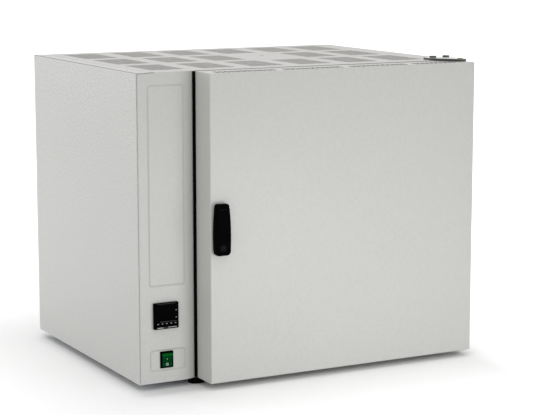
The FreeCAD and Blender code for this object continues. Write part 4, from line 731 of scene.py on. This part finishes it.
# Lighter black for the painted highlight along the handle's thumb ledge.
LEDGE_HIGHLIGHT = Moulding("black moulding with painted highlight", (0.008, 0.008, 0.0095), 0.3, gloss=0.04)
HOUSING_BLACK = Moulding("black switch housing", (0.0003, 0.0003, 0.0004), 0.35, gloss=0.008)
CASE_BLACK = Moulding("black instrument case", (0.0005, 0.0005, 0.0006), 0.38, gloss=0.01)
# Painted reflection lines on the controller's bevels.
BEVEL_REFLECTION = Moulding("painted reflection on black bevels", (0.030, 0.032, 0.029), 0.4, gloss=0.1)
KEY_BLACK = Moulding("black soft key", (0.003, 0.003, 0.0034), 0.5, gloss=0.02)
# Painted highlight along the middle of the controller frame's lip.
LIP_HIGHLIGHT = Moulding("painted highlight on the frame's lip", (0.05, 0.051, 0.054), 0.4, gloss=0.1)
CREAM = Moulding("cream terminal moulding", (0.62, 0.58, 0.46), 0.5)
PANE = PolishedPane("smoked display pane", (0.0005, 0.0005, 0.0007))
# The third colour is the painted highlight along the rocker's top.
GREEN = LitRocker("green rocker", (0.0005, 0.042, 0.009), (0.001, 0.070, 0.017),
                  (0.002, 0.140, 0.018))
MARK_WHITE = Moulding("white mark", (0.50, 0.62, 0.55), 0.5, gloss=0.1)
# Pale grey for printed legends, and for the painted highlight at the lip's ends.
LEGEND_AND_HIGHLIGHT_GREY = Moulding("pale legend and painted highlight", (0.38, 0.38, 0.39), 0.5, gloss=0.1)
WOOL = MineralWool("mineral wool", (0.62, 0.58, 0.46))


class Workshop:
    """Hands out the finishes and turns meshes into pieces of the object."""

    def __init__(self, frame: dict[str, Any]) -> None:
        """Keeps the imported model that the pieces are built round.
        """
        self.nodes: dict[str, bpy.types.Object] = frame["nodes"]
        self.joints: dict[str, dict[str, Any]] = {item["name"]: item for item in frame["joints"]}
        self.paints: dict[str, bpy.types.Material] = {}
        self.dressed: set[str] = set()

    def paint(self, finish: Finish) -> bpy.types.Material:
        """Gives the material of a finish, made once.

        Args:
            finish: The finish.

        Returns:
            Its material.
        """
        if finish.name not in self.paints:
            self.paints[finish.name] = finish.make()
        return self.paints[finish.name]

    def dress(self, finish: Finish, *names: str) -> None:
        """Gives CAD nodes a finish.

        Args:
            finish: The finish that they get.
            *names: The nodes' names.
        """
        material = self.paint(finish)
        for name in names:
            node = self.nodes[name]
            if not node.material_slots:
                node.data.materials.append(material)
            for slot in node.material_slots:
                slot.material = material
            self.dressed.add(name)
            LOG.info("dressed %s in %s", name, finish.name)

    def piece(self, name: str, mesh: bmesh.types.BMesh, finish: Finish, body: str,
              replaces: Iterable[str] = (), smooth: float = 35.0) -> bpy.types.Object:
        """Makes a finished mesh a piece of the object.

        Args:
            name: The piece's name.
            mesh: Its mesh, in metres in the model's frame, which is freed.
            finish: Its finish.
            body: The CAD body that it moves with.
            replaces: The CAD nodes that it stands for.
            smooth: The angle in degrees above which an edge stays sharp.

        Returns:
            The new object.
        """
        data = bpy.data.meshes.new(name)
        for face in mesh.faces:
            face.smooth = True
        for edge in mesh.edges:
            if len(edge.link_faces) == 2:
                edge.smooth = edge.calc_face_angle(0.0) < math.radians(smooth)
        mesh.to_mesh(data)
        mesh.free()
        item = bpy.data.objects.new(name, data)
        bpy.context.scene.collection.objects.link(item)
        data.materials.append(self.paint(finish))
        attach(item, body)
        if replaces:
            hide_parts(*replaces)
            self.dressed.update(replaces)
        LOG.info("built %s, %d faces, on %s", name, len(data.polygons), body)
        return item

    def touch(self, node: str, x: float, z: float) -> tuple[Vector, Vector]:
        """Finds where a line from the front meets a CAD node.

        Args:
            node: The CAD node's name.
            x: Where the line is across.
            z: How high the line is.

        Returns:
            The point that it meets and the surface's normal there.
        """
        start = Vector((x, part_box(node)[0].y - 0.01, z))
        found, point, normal, _ = self.nodes[node].ray_cast(start, -FRONT)
        if not found:
            raise ValueError(f"no line from the front meets {node} at {x}, {z}")
        return point, normal


def block(low: Vector, high: Vector) -> bmesh.types.BMesh:
    """Starts a mesh as a box.

    Args:
        low: Its lowest corner.
        high: Its highest corner.

    Returns:
        The mesh.
    """
    mesh = bmesh.new()
    bmesh.ops.create_cube(mesh, size=1.0)
    bmesh.ops.scale(mesh, vec=high - low, verts=mesh.verts)
    bmesh.ops.translate(mesh, vec=(low + high) / 2, verts=mesh.verts)
    return mesh


def soften(mesh: bmesh.types.BMesh, edges: Iterable[Any], width: float, steps: int) -> None:
    """Rounds some edges of a mesh.

    Args:
        mesh: The mesh.
        edges: The edges to round.
        width: The radius.
        steps: How many faces the round has.
    """
    bmesh.ops.bevel(mesh, geom=list(edges), offset=width, offset_type="OFFSET", segments=steps,
                    profile=0.5, material=-1, affect="EDGES", clamp_overlap=True)


def facing(normal: Vector, at: Vector) -> Matrix:
    """Gives the place of a thing that lies on a surface and faces along its normal."""
    return Matrix.Translation(at) @ normal.to_track_quat("Z", "Y").to_matrix().to_4x4()


@dataclass
class Cabinet:
    """The painted outside and the galvanised inside of the cabinet.

    Attributes:
        field_inset: How far the pressed fields are from the control panel's left edge.
        field_span: How wide they are.
        upper_field: How far the upper field's ends are below the control panel's top and above
            its bottom.
        lower_field: How far the lower field's ends are above the control panel's bottom.
        rim: How wide the top cover's front and back border is, past which no slot lies and no
            painted shade falls on upright faces.
    """

    field_inset: float = 0.022
    field_span: float = 0.0695
    upper_field: tuple[float, float] = (0.023, 0.1783)
    lower_field: tuple[float, float] = (0.0602, 0.0216)
    rim: float = 0.012

    def fields(self) -> tuple[tuple[Vector, Vector], ...]:
        """Finds the fields that are pressed into the control panel.

        Returns:
            The lowest and highest corner of each.
        """
        low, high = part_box("control_panel")
        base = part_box("base_tray")[0].z
        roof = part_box("left_side_panel")[1].z
        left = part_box("left_side_panel")[0].x + self.field_inset
        right = left + self.field_span
        ends = ((roof - self.upper_field[0], base + self.upper_field[1]),
                (base + self.lower_field[0], base + self.lower_field[1]))
        return tuple((Vector((left, low.y, bottom)), Vector((right, high.y, top)))
                     for top, bottom in ends)

    def build(self, shop: Workshop) -> None:
        """Dresses the sheets, the screws and the rubber seals.

        Args:
            shop: The workshop that holds the finishes.
        """
        shop.dress(SIDE_PAINT, "left_side_panel", "right_side_panel")
        shop.dress(PAINT, "back_panel", "front_frame")
        shop.dress(replace(PAINT, name="light grey powder coat of the control panel",
                           pressed=self.fields()), "control_panel")
        # The top cover's upright faces, away from its front and back border, get painted shade.
        low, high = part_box("top_cover")
        rim = Vector((0.0, self.rim, 0.0))
        shop.dress(replace(TOP_PAINT, cut_in=(low + rim, high - rim)), "top_cover")
        shop.dress(GALVANISED, "base_tray", "compartment_wall")
        shop.dress(ZINC, "panel_screws")
        shop.dress(RUBBER, "door_seals")


@dataclass
class Chamber:
    """The heated chamber with its wool, shelves, fan, heater and probes."""

    def build(self, shop: Workshop) -> None:
        """Dresses the chamber's pieces.

        Args:
            shop: The workshop that holds the finishes.
        """
        shop.dress(STAINLESS, "chamber_liner", "shelf_runners", "vent_tube")
        shop.dress(STAINLESS_UPRIGHT, "fan_baffle", "fan_wheel")
        shop.dress(STAINLESS_WIRE, "upper_shelf", "lower_shelf", "fan_shaft", "temperature_probe")
        shop.dress(WOOL, "side_insulation", "bottom_insulation", "top_insulation",
                   "back_insulation")
        shop.dress(MOTOR_ENAMEL, "fan_motor")
        shop.dress(GALVANISED, "motor_bracket")
        shop.dress(SHEATH, "heater_ring")
        shop.dress(CASE_BLACK, "overheat_thermostat")


@dataclass
class Door:
    """The door with its inner pan, its wool and its two hinges.

    Attributes:
        wall: How thick the outer pan's sheet is taken, from its coat to its inside, which gets
            painted shade.
        slot_inset: How far from the front the painted shade on the cooling slots' edges may start.
        slot_depth: How far below the top those edges reach.
        coat: How thick the coat is taken there.
    """

    wall: float = 0.0008
    slot_inset: float = 0.008
    slot_depth: float = 0.0015
    coat: float = 0.00015

    def build(self, shop: Workshop) -> None:
        """Dresses the door and its hinges.

        Args:
            shop: The workshop that holds the finishes.
        """
        low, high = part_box("door_shell")
        wall = Vector((self.wall, self.wall, self.wall))
        # The door's inside and the edges of its cooling slots get painted shade.
        inside = (low + wall, Vector((high.x, high.y + wall.y * 2, high.z)) - wall)
        slots = (Vector((low.x + self.slot_inset, low.y + self.slot_inset,
                         high.z - self.slot_depth)),
                 Vector((high.x - self.slot_inset, high.y + self.wall, high.z - self.coat)))
        shop.dress(replace(PAINT, name="light grey powder coat of the door",
                           painted_shade_boxes=(inside, slots)), "door_shell")
        shop.dress(STAINLESS_UPRIGHT, "door_inner_panel")
        shop.dress(WOOL, "door_insulation")
        shop.dress(PLATE_ZINC, "top_hinge_plate", "bottom_hinge_plate")
        shop.dress(BOLT_ZINC, "hinge_bolts")
        shop.dress(YELLOW_ZINC, "hinge_pins")
        shop.dress(BRONZE, "hinge_bushes")
        shop.dress(GALVANISED, "hinge_blocks", "hinge_doublers")


@dataclass
class Latch:
    """The black handle on its rose, with the spindle, the cam and the keeper.

    Attributes:
        half_top: Half the handle's width at its top.
        half_bottom: Half its width at its bottom.
        bow: How far each side bows outwards in the middle.
        ledge: How far below the top the thumb ledge is.
        ledge_step: How tall the slope of that ledge is.
        sink: How far the part above the ledge lies back.
        top_radius: The radius of the top corners.
        bottom_radius: The radius of the bottom corners.
        edge: The radius of the front edge.
        cap_radius: The radius of the round cap over the spindle.
        cap_rise: How far the cap stands out.
        levels: How many bands the bowed sides have.
        highlight_line: The width and height of the painted highlight along the thumb ledge.
    """

    half_top: float = 0.0122
    half_bottom: float = 0.0146
    bow: float = 0.0021
    ledge: float = 0.0105
    ledge_step: float = 0.0008
    sink: float = 0.0009
    top_radius: float = 0.0035
    bottom_radius: float = 0.0095
    edge: float = 0.0021
    cap_radius: float = 0.0068
    cap_rise: float = 0.0009
    levels: int = 14
    highlight_line: tuple[float, float] = (0.0165, 0.0009)

    def grip(self) -> bmesh.types.BMesh:
        """Shapes the handle's body.

        Returns:
            The mesh, in the model's frame.
        """
        low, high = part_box("latch_lever")
        low.y += self.cap_rise * 0.7
        middle = (low.x + high.x) / 2
        tall = high.z - low.z
        mesh = block(low, high)
        bands = [low.z + tall * step / self.levels for step in range(1, self.levels)]
        bands += [high.z - self.ledge, high.z - self.ledge + self.ledge_step]
        for height in bands:
            bmesh.ops.bisect_plane(mesh, geom=mesh.verts[:] + mesh.edges[:] + mesh.faces[:],
                                   plane_co=(middle, 0, height), plane_no=(0, 0, 1), dist=NEAR)
        for vert in mesh.verts:
            up = (vert.co.z - low.z) / tall
            half = self.half_bottom + (self.half_top - self.half_bottom) * up
            half += self.bow * (1 - (2 * up - 1) ** 2)
            vert.co.x = middle + math.copysign(half, vert.co.x - middle)
            if vert.co.z > high.z - self.ledge + self.ledge_step / 2 and vert.co.y < low.y + NEAR:
                vert.co.y += self.sink
        self.round_corners(mesh, low.z, self.bottom_radius)
        self.round_corners(mesh, high.z, self.top_radius)
        rim = [edge for edge in mesh.edges if len(edge.link_faces) == 2
               and sum(face.normal.y < -0.7 for face in edge.link_faces) == 1
               and max(vert.co.y for vert in edge.verts) < low.y + self.sink + NEAR]
        soften(mesh, rim, self.edge, 5)
        return mesh

    def round_corners(self, mesh: bmesh.types.BMesh, level: float, radius: float) -> None:
        """Rounds the two corners at one end of the handle.

        Args:
            mesh: The handle's mesh.
            level: How high that end is.
            radius: The corners' radius.
        """
        corners = [edge for edge in mesh.edges
                   if all(abs(vert.co.z - level) < NEAR for vert in edge.verts)
                   and abs(edge.verts[0].co.y - edge.verts[1].co.y) > radius / 4]
        soften(mesh, corners, radius, 7)

    def cap(self, at: Vector) -> bmesh.types.BMesh:
        """Shapes the round domed cap over the spindle's end.

        Args:
            at: The middle of its seat.

        Returns:
            The mesh, in the model's frame.
        """
        mesh = bmesh.new()
        place = facing(FRONT, at)
        profile = ((self.cap_radius, 0.0), (self.cap_radius, self.cap_rise * 0.5),
                   (self.cap_radius * 0.93, self.cap_rise * 0.8),
                   (self.cap_radius * 0.6, self.cap_rise * 0.97), (0.0, self.cap_rise))
        spin_profile(mesh, profile, place, 40)
        return mesh

    def build(self, shop: Workshop) -> None:
        """Builds the handle and its cap, and dresses what carries them.

        Args:
            shop: The workshop that holds the finishes.
        """
        across, _, up = shop.joints["latch_turn"]["pos_m"]
        grip = shop.piece("handle_grip", self.grip(), HANDLE_BLACK, "latch",
                          ["latch_lever"], 28.0)
        front = min(vert.co.y for vert in grip.data.vertices)
        shop.piece("handle_cap", self.cap(Vector((across, front + self.cap_rise * 0.1, up))),
                   WORN_BLACK, "latch")
        # A lighter line along the thumb ledge: painted highlight.
        top = max(vert.co.z for vert in grip.data.vertices)
        half = Vector((self.highlight_line[0] / 2, self.cap_rise * 0.15, self.highlight_line[1] / 2))
        at = Vector((across, front + self.sink / 2, top - self.ledge + self.highlight_line[1] / 2))
        highlight_line = block(at - half, at + half)
        soften(highlight_line, highlight_line.edges[:], half.y * 0.8, 2)
        shop.piece("handle_ledge", highlight_line, LEDGE_HIGHLIGHT, "latch")
        shop.dress(HANDLE_BLACK, "latch_rose")
        shop.dress(ZINC, "latch_spindle", "latch_cam", "latch_keeper")


def spin_profile(mesh: bmesh.types.BMesh, profile: Iterable[tuple[float, float]],
                 place: Matrix, steps: int) -> None:
    """Spins a profile about its own Z axis and closes its pole.

    Args:
        mesh: The mesh that it is added to.
        profile: The distance from the axis and the height of each point.
        place: Where the axis stands.
        steps: How many faces go round.
    """
    verts = [mesh.verts.new((radius, 0.0, height)) for radius, height in profile]
    edges = [mesh.edges.new(pair) for pair in zip(verts, verts[1:])]
    bmesh.ops.spin(mesh, geom=verts + edges, cent=(0, 0, 0), axis=(0, 0, 1),
                   angle=math.tau, steps=steps, use_merge=True)
    bmesh.ops.remove_doubles(mesh, verts=mesh.verts, dist=NEAR)
    bmesh.ops.transform(mesh, matrix=place, verts=mesh.verts)
    bmesh.ops.recalc_face_normals(mesh, faces=mesh.faces)


@dataclass
class Controller:
    """The temperature controller's front, with its small printed marks and painted highlight and
    reflection lines on its frame.

    Attributes:
        mark_size: The width and height of one mark.
        side_inset: How far the side marks are from the front's right edge.
        side_drops: How far below the front's top each side mark is.
        film: How far a mark stands out of what it is printed on.
        lines: Each painted highlight or reflection line of the frame: its name, the shares of the
            frame's width where it starts and ends, how far it is above the frame's bottom, its
            height and its finish.
    """

    mark_size: tuple[float, float] = (0.0028, 0.0012)
    side_inset: float = 0.0046
    side_drops: tuple[float, ...] = (0.0147, 0.0281)
    film: float = 0.00012
    lines: tuple[tuple[str, float, float, float, float, Finish], ...] = (
        # The lip lines are painted highlights on the frame's lower lip; window_step and top_bevel
        # are painted reflections.
        ("lip_left", 0.11, 0.37, 0.0025, 0.0017, LEGEND_AND_HIGHLIGHT_GREY),
        ("lip_middle", 0.375, 0.56, 0.0027, 0.0014, LIP_HIGHLIGHT),
        ("lip_right", 0.565, 0.92, 0.0029, 0.0013, LEGEND_AND_HIGHLIGHT_GREY),
        ("window_step", 0.22, 0.93, 0.0134, 0.0013, BEVEL_REFLECTION),
        ("top_bevel", 0.12, 0.88, 0.0465, 0.0011, BEVEL_REFLECTION),
    )

    def mark(self, shop: Workshop, node: str, x: float, z: float,
             size: tuple[float, float]) -> bmesh.types.BMesh:
        """Shapes one small raised mark that lies on a CAD node.

        Args:
            shop: The workshop, which finds the surface.
            node: The node that it lies on.
            x: Its middle across.
            z: Its middle up.
            size: Its width and height.

        Returns:
            The mesh, in the model's frame.
        """
        point, _ = shop.touch(node, x, z)
        half = Vector((size[0] / 2, self.film, size[1] / 2))
        mesh = block(point - half, point + half)
        corners = [edge for edge in mesh.edges
                   if abs(edge.verts[0].co.y - edge.verts[1].co.y) > NEAR]
        soften(mesh, corners, min(size) * 0.4, 3)
        return mesh

    def build(self, shop: Workshop) -> None:
        """Dresses the controller and builds its marks.

        Args:
            shop: The workshop that holds the finishes.
        """
        shop.dress(CASE_BLACK, "controller_case", "controller_bezel")
        shop.dress(PANE, "controller_window")
        low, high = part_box("controller_bezel")
        for index, drop in enumerate(self.side_drops, 1):
            mesh = self.mark(shop, "controller_window", high.x - self.side_inset, high.z - drop,
                             self.mark_size)
            shop.piece(f"lamp_mark_{index}", mesh, LEGEND_AND_HIGHLIGHT_GREY, "cabinet")
        across = high.x - low.x
        # These lines are painted highlights and reflections on the frame.
        for name, start, end, up, tall, finish in self.lines:
            mesh = self.mark(shop, "controller_bezel", low.x + across * (start + end) / 2,
                             low.z + up, (across * (end - start), tall))
            shop.piece(name, mesh, finish, "cabinet")
        for number in range(1, 6):
            name = f"controller_key_{number}"
            shop.dress(KEY_BLACK, name)
            low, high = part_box(name)
            mesh = self.mark(shop, name, (low.x + high.x) / 2, (low.z + high.z) / 2,
                             self.mark_size)
            shop.piece(f"key_mark_{number}", mesh, LEGEND_AND_HIGHLIGHT_GREY, f"key_{number}")


@dataclass
class MainsSwitch:
    """The green rocker in its black housing, with its two plain marks.

    Attributes:
        bar: The width and height of the upper mark.
        ring: The outer and inner radius of the lower mark.
        shares: How far up and down the rocker the marks sit, of half its height.
        film: How far a mark stands out.
        highlight_band: How tall the painted highlight along the rocker's top is.
        shade_band: How tall the painted shade below it is.
    """

    bar: tuple[float, float] = (0.0010, 0.0027)
    ring: tuple[float, float] = (0.0025, 0.0015)
    shares: tuple[float, float] = (0.16, -0.66)
    film: float = 0.00012
    highlight_band: float = 0.0042
    shade_band: float = 0.0013

    def build(self, shop: Workshop) -> None:
        """Dresses the switch and builds its marks.

        Args:
            shop: The workshop that holds the finishes.
        """
        shop.dress(HOUSING_BLACK, "switch_housing")
        low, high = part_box("switch_rocker")
        # The rocker's top band is painted highlight, with painted shade just below it.
        step = Vector((0, 0, high.z - low.z - self.highlight_band))
        dip = step - Vector((0, 0, self.shade_band))
        crest = Vector((0, 0, self.highlight_band))
        shop.dress(replace(GREEN, highlight_band=(low + step, high), shade_band=(low + dip, high - crest)),
                   "switch_rocker")
        middle = (low + high) / 2
        half = (high.z - low.z) / 2
        point, normal = shop.touch("switch_rocker", middle.x, middle.z + half * self.shares[0])
        bar = bmesh.new()
        bmesh.ops.create_cube(bar, size=1.0)
        bmesh.ops.scale(bar, vec=(self.bar[0], self.bar[1], self.film * 2), verts=bar.verts)
        bmesh.ops.transform(bar, matrix=facing(normal, point), verts=bar.verts)
        shop.piece("rocker_bar_mark", bar, MARK_WHITE, "rocker")
        point, normal = shop.touch("switch_rocker", middle.x, middle.z + half * self.shares[1])
        outer, inner = self.ring
        ring = bmesh.new()
        spin_profile(ring, ((outer, 0.0), (outer, self.film), (inner, self.film), (inner, 0.0)),
                     facing(normal, point), 32)
        shop.piece("rocker_ring_mark", ring, MARK_WHITE, "rocker")


@dataclass
class Electrics:
    """The inlet, the relay, the terminals and the wiring behind the panel."""

    def build(self, shop: Workshop) -> None:
        """Dresses the electric pieces.

        Args:
            shop: The workshop that holds the finishes.
        """
        shop.dress(CASE_BLACK, "mains_inlet", "power_relay")
        shop.dress(NICKEL, "inlet_blades")
        shop.dress(GALVANISED, "relay_heat_sink")
        shop.dress(CREAM, "terminal_block")
        shop.dress(CABLE, "wiring")


@dataclass
class Feet:
    """The four rubber feet with their screws."""

    def build(self, shop: Workshop) -> None:
        """Dresses the feet.

        Args:
            shop: The workshop that holds the finishes.
        """
        shop.dress(RUBBER, "feet")
        shop.dress(ZINC, "foot_screws")


@dataclass
class Studio:
    """The pale floor, the soft lamps, the world and the camera.

    Attributes:
        eye: Where the camera stands.
        pitch: How far it looks down, in radians.
        yaw: How far it looks to the right of straight ahead, in radians.
        lens: Its focal length in millimetres, on a 36 mm frame.
        world_light: The world's strength on matt surfaces.
        floor_half: Half the floor's side.
        stand_half: Half the width and depth of the place where the object stands.
        painted_floor_light: The painted light that the floor's emission gains, as seen, beside the
            object and again far from it; less of it near the object leaves painted shade there.
        floor_reach: How far from the object each of the two is full.
        painted_right_light: The painted light that the floor gains to the right of the object,
            which hides the lamps' shadow there.
        right_reach: How far to the right that starts and is full.
        lamps: Each soft lamp's name, place, aim, side and power.
    """

    eye: tuple[float, float, float] = (-1.5468, -3.0130, 0.8246)
    pitch: float = 0.1595
    yaw: float = 0.4914
    lens: float = 111.58
    world_light: float = 0.55
    floor_half: float = 30.0
    stand_half: tuple[float, float] = (0.335, 0.25)
    painted_floor_light: tuple[float, float] = (0.17, 0.38)
    floor_reach: tuple[float, float] = (0.03, 0.6)
    painted_right_light: float = 0.4
    right_reach: tuple[float, float] = (0.33, 0.44)
    lamps: tuple[tuple[str, Colour, Colour, float, float], ...] = (
        ("overhead", (-0.4, -0.4, 2.8), (0.0, 0.0, 0.3), 2.2, 15.0),
        ("left_back", (-2.0, 2.2, 0.9), (-0.3, 0.0, 0.3), 1.0, 14.5),
        ("front", (-1.0, -3.0, 1.8), (0.0, 0.0, 0.3), 1.2, 4.5),
        ("front_low", (0.14, -1.05, 0.13), (0.05, -0.3, 0.0), 0.4, 1.7),
    )

    def build(self) -> None:
        """Builds everything that isn't the object."""
        self.place_camera()
        self.light_world()
        self.lay_floor()
        for name, place, aim, side, power in self.lamps:
            self.hang_lamp(name, Vector(place), Vector(aim), side, power)

    def place_camera(self) -> None:
        """Stands the camera where the photograph was taken."""
        data = bpy.data.cameras.new("camera")
        data.lens = self.lens
        data.sensor_width = 36.0
        data.clip_end = 200.0
        camera = bpy.data.objects.new("camera", data)
        camera.location = self.eye
        camera.rotation_euler = (math.pi / 2 - self.pitch, 0.0, -self.yaw)
        bpy.context.scene.collection.objects.link(camera)
        bpy.context.scene.camera = camera

    def light_world(self) -> None:
        """Gives matt surfaces an even light, and the camera and gloss plain white."""
        world = bpy.data.worlds.new("white room")
        world.use_nodes = True
        nodes, links = world.node_tree.nodes, world.node_tree.links
        strength = nodes.new("ShaderNodeMapRange")
        strength.inputs["To Min"].default_value = self.world_light
        links.new(self.seen_rays(nodes, links), strength.inputs["Value"])
        links.new(strength.outputs["Result"], nodes["Background"].inputs["Strength"])
        nodes["Background"].inputs["Color"].default_value = (1.0, 1.0, 1.0, 1.0)
        bpy.context.scene.world = world

    def seen_rays(self, nodes: bpy.types.Nodes, links: bpy.types.NodeLinks) -> Socket:
        """Tells the rays that show a thing from the rays that carry its light to matt surfaces.

        Args:
            nodes: The nodes of a world or a material.
            links: Its links.

        Returns:
            The socket that is 1 for camera, glossy and transmission rays, and 0 for the others.
        """
        rays = nodes.new("ShaderNodeLightPath")
        seen = rays.outputs["Is Camera Ray"]
        for kind in ("Is Glossy Ray", "Is Transmission Ray"):
            either = nodes.new("ShaderNodeMath")
            either.operation = "MAXIMUM"
            links.new(seen, either.inputs[0])
            links.new(rays.outputs[kind], either.inputs[1])
            seen = either.outputs[0]
        return seen

    def lay_floor(self) -> None:
        """Lays the pale floor, which keeps the object's shadow; its emission is painted light that
        grows away from the object and to its right, where it hides the lamps' shadow.
        """
        mesh = bmesh.new()
        bmesh.ops.create_grid(mesh, x_segments=2, y_segments=2, size=self.floor_half)
        data = bpy.data.meshes.new("floor")
        mesh.to_mesh(data)
        mesh.free()
        floor = bpy.data.objects.new("floor", data)
        bpy.context.scene.collection.objects.link(floor)
        graph = Graph("pale floor")
        tone = graph.blend(graph.noise(0.4, 2.0), (0.88, 0.88, 0.88), (0.90, 0.90, 0.90))
        graph.wire(tone, "Base Color")
        graph.plain(Roughness=0.7, Emission_Color=(1.0, 1.0, 1.0, 1.0))
        # Painted light: emission for camera and glossy rays that grows with distance from the
        # object, with more to its right.
        past = graph.move("SUBTRACT", graph.move("ABSOLUTE", graph.points),
                          (*self.stand_half, 0.0))
        away = graph.move("LENGTH", graph.move("MAXIMUM", past))
        beside, beyond = (graph.remap(away, 0.0, painted_light, 0.0, reach)
                          for painted_light, reach in zip(self.painted_floor_light, self.floor_reach))
        right = graph.remap(graph.part_of(graph.points, "X"), 0.0, self.painted_right_light,
                            *self.right_reach)
        painted_light = graph.count("ADD", graph.count("ADD", beside, beyond), right)
        seen = self.seen_rays(graph.nodes, graph.links)
        graph.wire(graph.count("MULTIPLY", painted_light, seen), "Emission Strength")
        data.materials.append(graph.material)
        floor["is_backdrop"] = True

    def hang_lamp(self, name: str, place: Vector, aim: Vector, side: float, power: float) -> None:
        """Hangs one square soft lamp.

        Args:
            name: The lamp's name.
            place: Where it hangs.
            aim: The point that it faces.
            side: Its side.
            power: Its power in watts.
        """
        data = bpy.data.lights.new(name, "AREA")
        data.energy = power
        data.size = side
        lamp = bpy.data.objects.new(name, data)
        lamp.location = place
        lamp.rotation_euler = (aim - place).to_track_quat("-Z", "Y").to_euler()
        bpy.context.scene.collection.objects.link(lamp)


def corners() -> list[list[float]]:
    """Gives the whole object's lowest and highest corner as plain lists."""
    return [list(corner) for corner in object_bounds()]


def main() -> None:
    """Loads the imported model, builds each sub-assembly and reports on it."""
    logging.basicConfig(level=logging.INFO, format="%(name)s: %(message)s")
    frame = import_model()
    bpy.context.scene.view_settings.view_transform = "Standard"
    Studio().build()
    shop = Workshop(frame)
    for part in (Cabinet(), Chamber(), Door(), Latch(), Controller(), MainsSwitch(),
                 Electrics(), Feet()):
        LOG.info("building %s", type(part).__name__)
        part.build(shop)
    bare = sorted(set(shop.nodes) - shop.dressed)
    if bare:
        LOG.warning("nodes without a finish: %s", bare)


if __name__ == "__main__":
    main()
